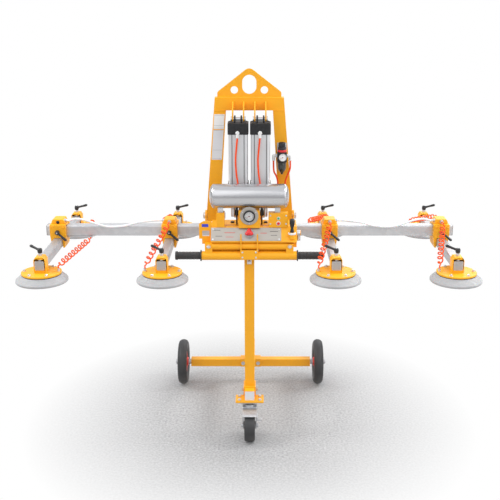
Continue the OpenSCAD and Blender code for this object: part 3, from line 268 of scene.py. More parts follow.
ANODISED = finish("anodised_barrel", (0.70, 0.71, 0.72), (0.60, 0.61, 0.62), 0.32, 0.1, metallic=0.75, patch=14.0,
                  bump=0.03, brush={"Stretch": (70.0, 70.0, 1.0), "Scale": 12.0})
CHROME = finish("chromed_rod", (0.86, 0.87, 0.89), (0.80, 0.81, 0.83), 0.08, 0.05, metallic=1.0, bump=0.01)
BLACK_CAST = finish("black_cast_head", (0.008, 0.008, 0.009), (0.014, 0.014, 0.015), 0.50, 0.12, grain=420.0,
                    bump=0.12, wear=((0.10, 0.10, 0.11), 0.25), patch=18.0, specular=0.35)
# Dark grey that paints the shade inside the barrels' grooves
SHADOW_GREY = finish("groove_painted_shade", (0.20, 0.20, 0.205), (0.15, 0.15, 0.155), 0.5, 0.1, bump=0.02)
BLACK_PLASTIC = finish("moulded_black_plastic", (0.009, 0.009, 0.010), (0.017, 0.017, 0.018), 0.42, 0.12,
                       grain=1500.0, bump=0.12, patch=25.0)
GRIP_RUBBER = finish("ribbed_grip_rubber", (0.020, 0.020, 0.021), (0.040, 0.040, 0.041), 0.66, 0.12, grain=1800.0,
                     bump=0.22, patch=30.0, sheen=0.15)
CUP_RUBBER = finish("grey_cup_rubber", (0.42, 0.422, 0.425), (0.35, 0.352, 0.356), 0.52, 0.12, grain=1300.0,
                    bump=0.12, patch=16.0, sheen=0.2, subsurface=0.05)
TYRE_RUBBER = finish("tyre_rubber", (0.026, 0.026, 0.027), (0.040, 0.040, 0.041), 0.48, 0.12, grain=900.0,
                     bump=0.15, patch=30.0, dust=(0.10, 0.25))
CASTER_TREAD = finish("caster_tread", (0.028, 0.028, 0.029), (0.045, 0.045, 0.046), 0.50, 0.12, grain=1100.0,
                      bump=0.12, patch=30.0, dust=(0.06, 0.25))
GREY_HUB = finish("grey_wheel_rim", (0.34, 0.35, 0.36), (0.27, 0.28, 0.29), 0.45, 0.1, metallic=0.5, patch=30.0,
                  bump=0.08, dust=(0.25, 0.35))
RED_HUB = finish("red_hub_paint", (0.70, 0.035, 0.020), (0.58, 0.025, 0.015), 0.36, 0.12, grain=700.0, bump=0.1,
                 wear=STEEL_WEAR, dust=(0.25, 0.3), coat=0.2)
RED_HOSE = finish("red_coil_hose", (0.96, 0.110, 0.008), (0.90, 0.085, 0.006), 0.40, 0.1, grain=600.0, bump=0.03,
                  coat=0.05, specular=0.3)
RED_TUBE = finish("red_air_tube", (0.88, 0.080, 0.006), (0.80, 0.062, 0.005), 0.42, 0.1, grain=600.0, bump=0.03,
                  coat=0.05, specular=0.3)
WHITE_HOSE = finish("white_vacuum_hose", (0.86, 0.865, 0.87), (0.78, 0.785, 0.79), 0.32, 0.1, grain=500.0,
                    bump=0.04, subsurface=0.15)
WHITE_PLASTIC = finish("white_plastic", (0.80, 0.80, 0.79), (0.72, 0.72, 0.71), 0.36, 0.1, grain=900.0, bump=0.06)
GREY_PRINT = finish("grey_plate_print", (0.74, 0.745, 0.765), (0.68, 0.685, 0.70), 0.45, 0.05, bump=0.01)
WHITE_PRINT = finish("white_dial_print", (0.88, 0.88, 0.87), (0.84, 0.84, 0.83), 0.5, 0.05, bump=0.01)
DARK_PRINT = finish("dark_print", (0.03, 0.03, 0.035), (0.05, 0.05, 0.055), 0.5, 0.05, bump=0.01)
RED_PRINT = finish("red_print", (0.65, 0.04, 0.03), (0.58, 0.03, 0.03), 0.5, 0.05, bump=0.01)
BLUE_PLATE = finish("blue_blank_plate", (0.035, 0.060, 0.62), (0.03, 0.05, 0.50), 0.35, 0.08, bump=0.02)
RED_BUTTON = finish("red_button_plastic", (0.78, 0.018, 0.022), (0.66, 0.014, 0.018), 0.26, 0.08, bump=0.04,
                    grain=900.0, coat=0.3)
GREEN_LENS = finish("green_lamp_lens", (0.05, 0.50, 0.12), (0.04, 0.40, 0.10), 0.18, 0.05, bump=0.02, coat=0.4)
GREY_PLASTIC = finish("grey_plastic", (0.40, 0.41, 0.42), (0.33, 0.34, 0.35), 0.45, 0.1, bump=0.08, grain=1200.0)
DARK_BOWL = finish("smoked_bowl", (0.014, 0.019, 0.014), (0.024, 0.030, 0.024), 0.12, 0.06, bump=0.02, coat=0.5)
CLEAR_GLASS = finish("gauge_glass", (0.98, 0.98, 0.98), (0.97, 0.97, 0.97), 0.03, 0.02, bump=0.0,
                     transmission=1.0)


# Meshes from arrays

# Two directions across each axis and the one along it, and the axes of a prism's outline and of its length
AXES = {"x": (np.array([0.0, 1, 0]), np.array([0.0, 0, 1]), np.array([1.0, 0, 0])),
        "y": (np.array([0.0, 0, 1]), np.array([1.0, 0, 0]), np.array([0.0, 1, 0])),
        "z": (np.array([1.0, 0, 0]), np.array([0.0, 1, 0]), np.array([0.0, 0, 1]))}
ORDER = {"x": (1, 2, 0), "y": (0, 2, 1), "z": (0, 1, 2)}


def pointing(axis, way):
    """The directions of an axis, turned over where way is -1."""
    u, v, w = AXES[axis]
    return u, v * way, w * way


FACING = pointing("y", -1)


def stored(name, points, faces, material, body, angle=35.0, bevel=0.0):
    """A piece from points and faces, shaded smooth up to the angle, riding on a body unless that is None."""
    mesh = bpy.data.meshes.new(name)
    mesh.from_pydata(np.asarray(points, float).reshape(-1, 3).tolist(), [], [list(map(int, f)) for f in faces])
    mesh.validate()
    mesh.update()
    mesh.shade_smooth()
    mesh.set_sharp_from_angle(angle=math.radians(angle))
    mesh.materials.append(material)
    made = added(name, mesh)
    if bevel:
        edge = made.modifiers.new("rounded_edges", "BEVEL")
        edge.width = bevel
        edge.segments = 2
        edge.limit_method = "ANGLE"
        edge.angle_limit = math.radians(30)
    if body:
        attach(made, body)
    return made


def quads(rows, columns, wrap_rows=False):
    """Faces of a grid of points: each point is joined to the next in its row, which is closed, and column."""
    a, b = (k.ravel() for k in np.meshgrid(np.arange(rows - (not wrap_rows)), np.arange(columns), indexing="ij"))
    a2, b2 = (a + 1) % rows, (b + 1) % columns
    return np.stack([a * columns + b, a * columns + b2, a2 * columns + b2, a2 * columns + b], 1).tolist()


def capped(rows, columns):
    """Faces of such a grid with a flat face on its first and its last row."""
    k = np.arange(columns)
    return quads(rows, columns) + [k[::-1].tolist(), (k + (rows - 1) * columns).tolist()]


def both_ways(low, middle=()):
    """A profile from its lower half: that half, the points between, and the half turned over."""
    low = np.asarray(low, float)
    return np.concatenate([low, np.reshape(middle, (-1, 2)), (low * [1, -1])[::-1]])


def symmetric(right, x, turned_back):
    """A closed outline from its right half, mirrored and moved to x. Its first point is turned back by a few
    places, since the first point decides how a hollowed face is cut into triangles."""
    right = np.asarray(right, float)
    return np.roll(np.concatenate([right, (right * [-1, 1])[::-1]]), turned_back, axis=0) + [x, 0]


def turned_shape(profile, centre, axis="z", segments=48, ring=False):
    """Points and faces of a turned solid: centre + height along the axis + radius times (cos, sin) across it.
    The profile is (radius, height), upwards on its outer side; a radius of 0 at either end is one point with
    a fan of triangles, any other open end is closed by a flat face, and a ring is closed on itself."""
    profile, centre = np.asarray(profile, float), np.asarray(centre, float)
    u, v, w = AXES[axis] if isinstance(axis, str) else axis
    low_pole, high_pole = (not ring and profile[k, 0] == 0 for k in (0, -1))
    sides = profile[int(low_pole):len(profile) - int(high_pole)]
    t = np.linspace(0, 2 * np.pi, segments, endpoint=False)
    across = np.cos(t)[:, None] * u + np.sin(t)[:, None] * v
    points = (centre + sides[:, 1, None, None] * w + sides[:, 0, None, None] * across).reshape(-1, 3)
    faces = quads(len(sides), segments, ring)
    low = np.arange(segments)
    high = low + (len(sides) - 1) * segments
    for pole, height, near, far, rim in ((low_pole, profile[0, 1], np.roll(low, -1), low, low[::-1]),
                                         (high_pole, profile[-1, 1], high, np.roll(high, -1), high)):
        if pole:
            points = np.concatenate([points, [centre + w * height]])
            faces += np.stack([np.full(segments, len(points) - 1), near, far], 1).tolist()
        elif not ring:
            faces.append(rim.tolist())
    return points, faces


def extruded_shape(outline, axis, low, high):
    """Points and faces of a prism: the outline in the plane across the axis, from low to high."""
    outline = np.asarray(outline, float)
    x, y = outline.T
    area = 0.5 * np.sum(x * np.roll(y, -1) - np.roll(x, -1) * y)
    if (area < 0) != (axis == "y"):
        outline = outline[::-1]
    points = np.zeros((2, len(outline), 3))
    points[:, :, ORDER[axis][0]], points[:, :, ORDER[axis][1]] = outline.T
    points[0, :, ORDER[axis][2]], points[1, :, ORDER[axis][2]] = low, high
    return points.reshape(-1, 3), capped(2, len(outline))


def joined(shapes):
    """Several shapes as one list of points and faces."""
    points, faces, start = [], [], 0
    for p, f in shapes:
        points.append(np.asarray(p).reshape(-1, 3))
        faces += [[start + k for k in face] for face in f]
        start += len(points[-1])
    return np.concatenate(points), faces


def box_shape(low, high):
    """A box from its lowest to its highest corner."""
    return extruded_shape([(low[0], low[1]), (high[0], low[1]), (high[0], high[1]), (low[0], high[1])],
                          "z", low[2], high[2])


def turned(name, profile, centre, axis, material, body, segments=48, ring=False, angle=35.0):
    """A piece that is one turned solid."""
    return stored(name, *turned_shape(profile, centre, axis, segments, ring), material, body, angle)


def group_of(name, shapes, material, body, bevel=0.0, angle=35.0):
    """A piece made of several shapes."""
    return stored(name, *joined(shapes), material, body, angle, bevel)


def fluted(name, radius, heights, centre, axes, material, body, angle):
    """A piece whose radius changes along and around its axis: one row of radii for each height."""
    u, v, w = axes
    t = np.linspace(0, 2 * np.pi, radius.shape[1], endpoint=False)
    points = (np.asarray(centre, float) + (radius * np.cos(t))[..., None] * u + (radius * np.sin(t))[..., None] * v
              + np.asarray(heights)[:, None, None] * w)
    return stored(name, points, capped(*radius.shape), material, body, angle)


def through(points, per_span):
    """A smooth line through the points: on each span, the cubic whose slopes are half the chord of its neighbours."""
    p = np.asarray(points, float)
    padded = np.concatenate([p[:1], p, p[-1:]])
    f = np.linspace(0, 1, per_span, endpoint=False)[None, :, None]
    a, b, c, d = (padded[k:len(p) - 1 + k][:, None, :] for k in range(4))
    line = 0.5 * (2 * b + (c - a) * f + (2 * a - 5 * b + 4 * c - d) * f ** 2 + (3 * b - a - 3 * c + d) * f ** 3)
    return np.concatenate([line.reshape(-1, 3), p[-1:]])


def tube_shape(line, radius, across, sides=16):
    """A tube round a line: rings of cos and sin about each point's heading. across is never along the line."""
    line, across = np.asarray(line, float), np.asarray(across, float)
    heading = np.gradient(line, axis=0)
    heading /= np.linalg.norm(heading, axis=1, keepdims=True)
    u = across - (heading @ across)[:, None] * heading
    u /= np.linalg.norm(u, axis=1, keepdims=True)
    v = np.cross(heading, u)
    t = np.linspace(0, 2 * np.pi, sides, endpoint=False)[None, :, None]
    radius = np.broadcast_to(np.asarray(radius, float), (len(line),))[:, None, None]
    points = line[:, None, :] + radius * (np.cos(t) * u[:, None, :] + np.sin(t) * v[:, None, :])
    return points.reshape(-1, 3), capped(len(line), sides)


def four_times(quarter):
    """An outline from its first quarter, turned three times by 90 degrees."""
    return np.concatenate([quarter @ np.array([[math.cos(k), math.sin(k)], [-math.sin(k), math.cos(k)]])
                           for k in np.arange(4) * np.pi / 2])


def rounded_square(half, corner, steps=5):
    """A square outline with round corners."""
    a = np.linspace(0, np.pi / 2, steps)
    return four_times(half - corner + corner * np.stack([np.cos(a), np.sin(a)], 1))


def square_tube(name, axis, low, high, centre, half, wall, material, body, corner=0.006):
    """A hollow square tube with round corners: an outer and an inner skin joined at both ends."""
    outer, inner = rounded_square(half, corner), rounded_square(half - wall, max(corner - wall, 0.001))
    rings = np.zeros((4, len(outer), 3))
    for row, (outline, along) in enumerate(((outer, low), (outer, high), (inner, high), (inner, low))):
        rings[row][:, ORDER[axis][:2]] = outline + centre
        rings[row][:, ORDER[axis][2]] = along
    if axis == "y":
        rings = rings[:, ::-1]
    return stored(name, rings, quads(4, len(outer), wrap_rows=True), material, body, 40.0)


def hexagon_shapes(centre, axis, radius, height, up=1.0):
    """A hexagon head with a washer under it and a shallow chamfer on top."""
    axes = pointing(axis, up)
    return [turned_shape([(radius * 1.25, 0), (radius * 1.25, height * 0.16), (radius * 1.15, height * 0.2)],
                         centre, axes, 24),
            turned_shape([(radius, height * 0.18), (radius, height * 0.86), (radius * 0.86, height)],
                         centre, axes, 6)]


def dress(names, material):
    """Gives CAD nodes a material."""
    for name in names:
        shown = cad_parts[name]
        shown.data.materials.clear()
        shown.data.materials.append(material)


# Stand

def make_rear_wheel(side, body):
    """One rear wheel: tyre, rim, five spokes that narrow in their middle, hub, and the nut on the axle's end."""
    centre = (side * WHEEL_X, AXLE_Y, WHEEL_R)
    # Round crown with five fine grooves of 0.7 mm round it
    a = np.radians(np.linspace(-90, 90, 121))
    grooves = 0.0007 * np.clip(4 * np.cos(12 * a) - 3, 0, 1) * (np.abs(a) < 1.2)
    crown = np.stack([WHEEL_R - 0.020 + 0.020 * np.cos(a) - grooves, 0.0248 * np.sin(a)], 1)
    tyre = turned(body + "_tyre", both_ways([(0.067, -0.014), (0.072, -0.019), (0.086, -0.0225)], crown),
                  centre, "x", TYRE_RUBBER, body, 96, ring=True)
    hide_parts(body)
    turned(body + "_rim", [(0.0640, -0.013), (0.0700, -0.016), (0.0705, 0.0), (0.0700, 0.016), (0.0640, 0.013),
                           (0.0625, 0.006), (0.0625, -0.006)], centre, "x", RED_HUB, body, 96, ring=True)
    spokes = []
    hub_r, rim_r = 0.018, 0.0645
    r = np.linspace(hub_r, rim_r, 7)
    width = 0.015 - 0.004 * np.sin(np.pi * (r - hub_r) / (rim_r - hub_r))
    for turn in np.arange(5) * 2 * np.pi / 5 + 0.3:
        u = np.array([0, math.cos(turn), math.sin(turn)])
        v = np.array([0, -math.sin(turn), math.cos(turn)])
        corners = ((-1, -0.005), (1, -0.005), (0.8, 0.005), (-0.8, 0.005))
        spokes.append(([centre + u * reach + v * half * s + (x, 0, 0) for reach, half in zip(r, width)
                        for s, x in corners], capped(7, 4)))
    group_of(body + "_spokes", spokes, RED_HUB, body, bevel=0.0015)
    turned(body + "_hub", both_ways([(0.0102, -0.027), (0.021, -0.027), (0.0235, -0.025), (0.024, -0.012),
                                     (0.030, -0.004)]), centre, "x", RED_HUB, body, 48, ring=True)
    end = (side * (WHEEL_X + 0.0315), AXLE_Y, WHEEL_R)
    group_of(body + "_axle_nut", [
        turned_shape([(0.011, 0), (0.011, 0.007), (0.0085, 0.0085)], end, pointing("x", side), 6),
        turned_shape([(0.0072, 0.006), (0.0072, 0.010), (0.006, 0.011)], end, pointing("x", side), 24)],
        ZINC, "stand")


def make_stand():
    """Painted tubes, zinc hardware, two rear wheels and the caster."""
    dress(["base_spine", "axle_tube", "column"], YELLOW)
    dress(["stand_hardware", "caster_fork", "caster_brake"], ZINC)
    for side, word in SIDES:
        make_rear_wheel(side, "rear_wheel_" + word)
    for name, low, material, segments in (
            ("caster_tread_ring", [(0.055, -0.0235), (0.066, -0.0250), (0.0725, -0.0235), (0.0745, -0.019),
                                   (0.0750, -0.010)], CASTER_TREAD, 72),
            ("caster_rim_disc", [(0.0062, -0.0135), (0.030, -0.012), (0.048, -0.012), (0.0545, -0.0215),
                                 (0.0560, -0.0215)], GREY_HUB, 72),
            ("caster_hub_sleeve", [(0.0062, -0.0286), (0.016, -0.0286), (0.018, -0.026)], GREY_HUB, 36)):
        ring = turned(name, both_ways(low), (0, CASTER_Y, CASTER_R), "x", material, "caster_wheel", segments,
                      ring=True)
        if material is CASTER_TREAD:
            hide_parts("caster_wheel")
    # Pale faces of the spine's end caps, a black ring of painted shade in the gap of the caster's swivel, and the knob
    # of the column's lock
    for name, low in (("spine_face_front", -0.2606), ("spine_face_rear", 0.3800)):
        face = extruded_shape(rounded_square(0.0222, 0.005) + [0, 0.2205], "y", low, low + 0.0006)
        group_of(name, [face], GREY_PRINT, "stand")
    # Black ring: painted shade in the gap of the caster's swivel
    turned("swivel_painted_shade_ring", [(0.0222, 0.1755), (0.0240, 0.1765), (0.0240, 0.1845), (0.0222, 0.1855)],
           (0, -0.236, 0), "z", BLACK_PLASTIC, "stand", 48, ring=True)
    turned("column_lock_knob", [(0.0045, 0), (0.0075, 0.001), (0.0085, 0.004), (0.006, 0.008), (0.0, 0.0085)],
           (0, -0.2155, 0.866), FACING, ZINC, "stand", 32)


# Frame

def dial_bar(centre, degrees, near, far, depth):
    """A thin bar on a dial, along a direction; near and far are each end's (distance, half width)."""
    a = math.radians(degrees)
    d, s = np.array([math.cos(a), 0, math.sin(a)]), np.array([-math.sin(a), 0, math.cos(a)])
    corners = [centre + d * r + s * half * way + (0, y, 0) for y in (0.0, -depth)
               for (r, half), way in ((near, -1), (far, -1), (far, 1), (near, 1))]
    return corners, [[0, 1, 2, 3], [7, 6, 5, 4], [4, 5, 1, 0], [5, 6, 2, 1], [6, 7, 3, 2], [7, 4, 0, 3]]


def make_dial(centre, radius, body, name, marks=11):
    """Plain dial facing -Y: ticks every 27 degrees, the fifths longer, a needle and its cap."""
    centre = np.array(centre)
    group_of(name + "_ticks", [
        dial_bar(centre, 225 - 27.0 * k, (radius * (0.76 if k % 5 else 0.66), radius * 0.028),
                 (radius * 0.9, radius * 0.028), 0.0004) for k in range(marks)], DARK_PRINT, body, angle=30)
    group_of(name + "_needle", [dial_bar(centre - (0, 0.0012, 0), 205, (-radius * 0.2, radius * 0.05),
                                         (radius * 0.72, radius * 0.012), 0.0005)], RED_PRINT, body, angle=30)
    turned(name + "_needle_cap", [(radius * 0.12, 0), (radius * 0.12, 0.0012), (radius * 0.08, 0.0018)],
           centre - (0, 0.0004, 0), FACING, DARK_PRINT, body, 24)


def make_beam():
    """Galvanised box beam with round corners and grey end caps."""
    beam = square_tube("spreader_beam_tube", "x", -0.952, 0.952, (0, BEAM_Z), BEAM_HALF, 0.004, GALVANISED, "frame")
    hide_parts("main_beam")
    for side, word in SIDES:
        group_of("beam_end_cap_" + word, [
            extruded_shape(rounded_square(half, corner) + [0, BEAM_Z], "x", *sorted((side * near, side * far)))
            for half, corner, near, far in ((0.0245, 0.006, 0.952, 0.956), (0.0205, 0.002, 0.938, 0.9521))],
            GREY_PLASTIC, "frame", bevel=0.0012)


# The panel's directions: along X, up its slope and out of it
PANEL_MIDDLE = (PANEL_LOW + PANEL_HIGH) / 2
PANEL_UP = (PANEL_HIGH - PANEL_LOW) / np.linalg.norm(PANEL_HIGH - PANEL_LOW)
PANEL_AXES = (np.array([1.0, 0, 0]), np.array([0, *PANEL_UP]), np.array([0, -PANEL_UP[1], PANEL_UP[0]]))
PANEL_FACE = 0.0021


def on_panel(points):
    """Points given on the panel as points in the frame."""
    return np.reshape(points, (-1, 3)) @ np.array(PANEL_AXES) + [0, *PANEL_MIDDLE]


def panel_strokes(name, places, material):
    """Plain raised strokes beside the button, where a printed panel has its legends: (x0, x1, v0, v1) each."""
    strokes = [box_shape((x0, v0, PANEL_FACE), (x1, v1, PANEL_FACE + 0.0003)) for x0, x1, v0, v1 in places]
    group_of(name, [(on_panel(points), faces) for points, faces in strokes], material, "frame", angle=30)


def make_console():
    """Painted box, bare panel with plain strokes, and the button with its collar."""
    dress(["console_body", "pivot_brackets", "handle_bar"], YELLOW)
    dress(["panel_plate"], PANEL_METAL)
    centre = on_panel((0, 0, 0))[0]
    panel_strokes("panel_dark_strokes", ((-0.158, -0.128, 0.016, 0.0182), (-0.150, -0.120, -0.012, -0.0100),
                                         (0.092, 0.128, 0.010, 0.0122), (0.096, 0.124, -0.008, -0.0060)), DARK_PRINT)
    panel_strokes("panel_red_strokes", ((-0.110, -0.062, 0.004, 0.0062), (-0.104, -0.070, -0.016, -0.0140),
                                        (0.050, 0.078, 0.002, 0.0044)), RED_PRINT)
    group_of("panel_screws", [turned_shape([(0.0042, 0.002), (0.0042, 0.0030), (0.0030, 0.0040), (0.0, 0.0043)],
                                           on_panel((x, v, 0))[0], PANEL_AXES, 20)
                              for x in (-0.160, 0.132) for v in (-0.026, 0.022)], ZINC, "frame")
    collar = turned("button_collar", [(0.0205, 0.0022), (0.0210, 0.0030), (0.0205, 0.0090), (0.0185, 0.0100),
                                      (0.0080, 0.0100)], centre, PANEL_AXES, GREY_PLASTIC, "frame", 48)
    # Three-lobed button: above its neck the radius swells at every third of a turn, one lobe uphill
    rows = np.array([(0.0068, -0.006), (0.0068, 0.0138), (0.0150, 0.0140), (0.0182, 0.0152), (0.0198, 0.0178),
                     (0.0200, 0.0205), (0.0188, 0.0245), (0.0155, 0.0277), (0.0100, 0.0293), (0.0050, 0.0298),
                     (0.0010, 0.0299)])
    t = np.linspace(0, 2 * np.pi, 72, endpoint=False)
    swell = np.where(rows[:, :1] > 0.0095, 0.82 + 0.18 * np.cos(3 * (t - np.pi / 2)), 1.0)
    button = fluted("three_lobed_button", rows[:, :1] * swell, rows[:, 1], centre, PANEL_AXES, RED_BUTTON,
                    "stop_button", 50.0)
    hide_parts("stop_button")


def make_switch_box():
    """Blank blue plate on the left, lamp and switch on the right, bolts and the web behind the handle."""
    group_of("blue_blank_plate_piece", [box_shape((-0.211, -0.2186, 1.031), (-0.182, -0.2179, 1.045))],
             BLUE_PLATE, "frame", bevel=0.0003)
    front, switch_x, lamp_z, switch_z = -0.222, 0.130, 1.072, 1.049
    for name, profile, z, material, angle in (
            ("lamp_bezel", [(0.0075, 0), (0.0075, 0.0020), (0.0060, 0.0028), (0.0048, 0.0028), (0.0048, 0.0004)],
             lamp_z, ZINC, 35),
            ("lamp_lens", [(0.0048, 0.0005), (0.0048, 0.0040), (0.0040, 0.0055), (0.0022, 0.0064), (0.0, 0.0066)],
             lamp_z, GREEN_LENS, 60),
            ("switch_bezel", [(0.0100, 0), (0.0100, 0.0022), (0.0085, 0.0030), (0.0068, 0.0030), (0.0068, 0.0005)],
             switch_z, WHITE_PLASTIC, 35),
            ("switch_cap", [(0.0066, 0.0006), (0.0066, 0.0056), (0.0056, 0.0066), (0.0, 0.0068)],
             switch_z, RED_BUTTON, 35)):
        turned(name, profile, (switch_x, front, z), FACING, material, "frame", 32, angle=angle)
    group_of("switch_box_screws", [
        turned_shape([(0.0040, 0), (0.0040, 0.0012), (0.0028, 0.0024), (0.0, 0.0026)], (x, front, z), FACING, 20)
        for z in (1.046, 1.084) for x in (0.094, 0.164)], ZINC, "frame")
    # Bolts on the handle's cheeks and on the front bracket
    bolts = [shape for x in (-0.181, 0.181)
             for shape in hexagon_shapes((x, -0.2535, 0.9500), "y", 0.0075, 0.0065, -1)]
    bolts += [turned_shape([(0.0042, 0), (0.0042, 0.0016), (0.0028, 0.0030), (0.0, 0.0032)],
                           (x, -0.2620, z), FACING, 20) for x in (-0.030, 0.030) for z in (0.902, 0.926)]
    group_of("console_bolts", bolts, ZINC, "frame")
    group_of("handle_web", [box_shape((low, -0.2262, 0.9150), (high, -0.2234, 0.9490))
                            for low, high in ((-0.165, -0.040), (0.040, 0.165))], YELLOW, "frame")


def make_valve():
    """Tilt valve: white collar ring, lever with a boot and a moulded, ribbed handle, and its outlet."""
    turned("valve_collar_ring", [(0.0142, 0.0), (0.0170, 0.001), (0.0175, 0.004), (0.0160, 0.0085), (0.0142, 0.0094)],
           (VALVE[0], VALVE[1], 1.0044), "z", WHITE_PLASTIC, "frame", 48, ring=True)
    stick = turned_shape([(0.0, -0.0070), (0.0035, -0.0061), (0.0061, -0.0035), (0.0070, 0.0), (0.0061, 0.0035),
                          (0.0056, 0.0056), (0.0092, 0.0060), (0.0092, 0.0090), (0.0074, 0.0120), (0.0080, 0.0145),
                          (0.0062, 0.0180), (0.0064, 0.0240), (0.0090, 0.0310), (0.0108, 0.0400), (0.0118, 0.0520),
                          (0.0117, 0.0570), (0.0100, 0.0620), (0.0060, 0.0645), (0.0, 0.0650)], VALVE, "z", 48)
    lever = group_of("tilt_valve_lever", [stick, turned_shape([(0.0020, -0.0110), (0.0020, 0.0110)], VALVE, "x", 20)],
                     BLACK_PLASTIC, "valve_lever", angle=50)
    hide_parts("valve_lever")
    ribs = [turned_shape([(0.0100, z), (0.0122, z + 0.0006), (0.0122, z + 0.0016), (0.0100, z + 0.0022)],
                         VALVE, "z", 40, ring=True) for z in (0.040, 0.045, 0.050)]
    group_of("tilt_valve_lever_ribs", ribs, BLACK_PLASTIC, "valve_lever")
    group_of("outlet_elbow", [
        turned_shape([(0.0124, 0.2120), (0.0124, 0.2270), (0.0108, 0.2312), (0.0, 0.2315)],
                     (0, -0.205, 1.000), "x", 36),
        turned_shape([(0.0074, 0.9655), (0.0084, 0.9665), (0.0084, 0.9990)], (0.221, -0.205, 0), "z", 30)],
        ZINC, "frame")


def make_grips():
    """Rubber grips with fine ribs: the radius rises and falls 16 times along the grip."""
    start, rib, bar_end = 0.2185, 0.0063, 0.331
    x = np.linspace(start, 0.319, 161)
    ribs = 0.0172 + 0.0008 * np.clip(1.6 * np.cos((x - start) / rib * 2 * np.pi), -1, 1)
    profile = [(0.0141, 0.2130), (0.0240, 0.2131), (0.0250, 0.2140), (0.0250, 0.2172), (0.0240, 0.2180),
               (0.0185, 0.2184), *zip(ribs, x), (0.0190, 0.3195), (0.0195, 0.3220), (0.0195, 0.3275),
               (0.0180, bar_end - 0.0006), (0.0, bar_end)]
    for side, word in SIDES:
        grip = turned("grip_" + word, profile, (0, HANDLE_Y, HANDLE_Z), pointing("x", side), GRIP_RUBBER, "frame", 64,
                      angle=50)
        if side < 0:
            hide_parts("hand_grips")


def make_tank():
    """Polished tank with dished ends, weld beads, end plugs, feet and two short lines under it."""
    a = np.radians(np.linspace(90, 0, 19))
    dish = np.stack([TANK_R * np.cos(a), -TANK_HALF + 0.021 * (1 - np.sin(a))], 1)
    tank = turned("tank_shell", both_ways(dish, [(TANK_R, 0.0)]), (0, TANK_Y, TANK_Z), "x", POLISHED, "frame", 96,
                  angle=60)
    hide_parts("air_tank")
    bead = both_ways([(TANK_R - 0.001, -0.002), (TANK_R + 0.0004, -0.0012)], [(TANK_R + 0.0007, 0.0)])
    group_of("tank_weld_beads", [turned_shape(bead, (x, TANK_Y, TANK_Z), "x", 96, ring=True)
                                 for x in (-0.1545, 0.1545)], POLISHED, "frame")
    feet = []
    deck = 1.0952
    for x in (-0.128, 0.126):
        feet += [box_shape((x - 0.012, TANK_Y - 0.018, deck), (x + 0.012, TANK_Y - 0.014, TANK_Z - 0.049)),
                 box_shape((x - 0.012, TANK_Y - 0.022, deck), (x + 0.012, TANK_Y + 0.014, 1.0990)),
                 *hexagon_shapes((x, TANK_Y + 0.004, 1.0990), "z", 0.0055, 0.005)]
    group_of("tank_feet", feet, ZINC, "frame", bevel=0.0006)
    group_of("tank_end_plugs", [
        turned_shape([(0.009, -0.001), (0.009, 0.002), (0.007, 0.004), (0.0, 0.0041)],
                     (side * (TANK_HALF - 0.0045), TANK_Y, TANK_Z), pointing("x", side), 32) for side in (-1, 1)],
        ZINC, "frame")
    fitting = [(0.0062, 1.0740), (0.0078, 1.0750), (0.0078, 1.1000), (0.0060, 1.1010), (0.0060, 1.1140)]
    group_of("black_elbow_fittings", [turned_shape(fitting, (x, -0.180, 0), "z", 28) for x in (-0.056, 0.056)],
             BLACK_PLASTIC, "frame")
    group_of("black_short_lines", [
        tube_shape(through([(x, -0.180, z) for z in (1.0325, 1.050, 1.0745)], 4), 0.0035, (0, 1, 0), 12)
        for x in (-0.056, 0.056)], BLACK_PLASTIC, "frame")


def make_gauge():
    """Steel bezel plate, black case ring, white dial with ticks, needle and glass."""
    x, y, z = GAUGE
    plate = turned("gauge_bezel_plate", [(0.0225, 0.0), (0.0405, 0.0), (0.0410, 0.0008), (0.0410, 0.0034),
                                         (0.0400, 0.0042), (0.0270, 0.0046), (0.0225, 0.0046)], GAUGE, FACING,
                   PANEL_METAL, "frame", 96, ring=True)
    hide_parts("vacuum_gauge")
    group_of("gauge_screws", [turned_shape([(0.0026, 0.0040), (0.0026, 0.0056), (0.0014, 0.0064), (0.0, 0.0065)],
                                           (0.0335 * math.cos(a), y, z + 0.0335 * math.sin(a)), FACING, 18)
                              for a in np.radians([30, 150, 270])], ZINC, "frame")
    turned("gauge_case_ring", [(0.0205, 0.0030), (0.0250, 0.0040), (0.0262, 0.0060), (0.0262, 0.0130),
                               (0.0250, 0.0152), (0.0225, 0.0160), (0.0212, 0.0150), (0.0205, 0.0120)],
           GAUGE, FACING, BLACK_PLASTIC, "frame", 96, ring=True)
    turned("gauge_dial_face", [(0.0208, 0.0060), (0.0208, 0.0096), (0.0, 0.0097)], GAUGE, FACING, WHITE_PRINT,
           "frame", 72)
    make_dial((x, y - 0.0097, z), 0.0185, "frame", "vacuum_gauge_dial")
    turned("gauge_window", [(0.0206, 0.0132), (0.0206, 0.0144), (0.0, 0.0148)], GAUGE, FACING, CLEAR_GLASS, "frame", 72)


def make_ejectors():
    """Black ejector blocks in the console, and two grey silencers with fine rings below the tank."""
    dress(["vacuum_ejectors"], BLACK_PLASTIC)
    z = np.linspace(1.0705, 1.1065, 60)
    rings = 0.0089 + 0.0003 * np.cos((z - 1.0705) / 0.0030 * 2 * np.pi)
    profile = [(0.0, 1.0692), (0.0070, 1.0695), *zip(rings, z), (0.0089, 1.1083), (0.0054, 1.1086), (0.0054, 1.1138)]
    for number, x in ((1, -0.072), (2, 0.073)):
        turned("silencer_%d" % number, profile, (x, -0.180, 0), "z", ZINC, "frame", 36, angle=60)


# Mast

def weld_bead(ends, y, z, count, radius, change, rng):
    """A weld bead along X whose radius changes at random."""
    line = np.stack([np.linspace(*ends, count), np.full(count, y), np.full(count, z)], 1)
    return tube_shape(line, radius + change * rng.random(count), (0, 0, 1), 8)


def upright_plate(low, high, half=0.0235, thickness=0.0008):
    """A thin plate on the left upright, leaning as it leans."""
    corners = [(-(0.1295 + (CROSSBAR_TOP - z) * 0.075) + s * half, z)
               for z, s in ((low, -1), (low, 1), (high, 1), (high, -1))]
    return extruded_shape(corners, "y", MAST_FRONT - thickness, MAST_FRONT)


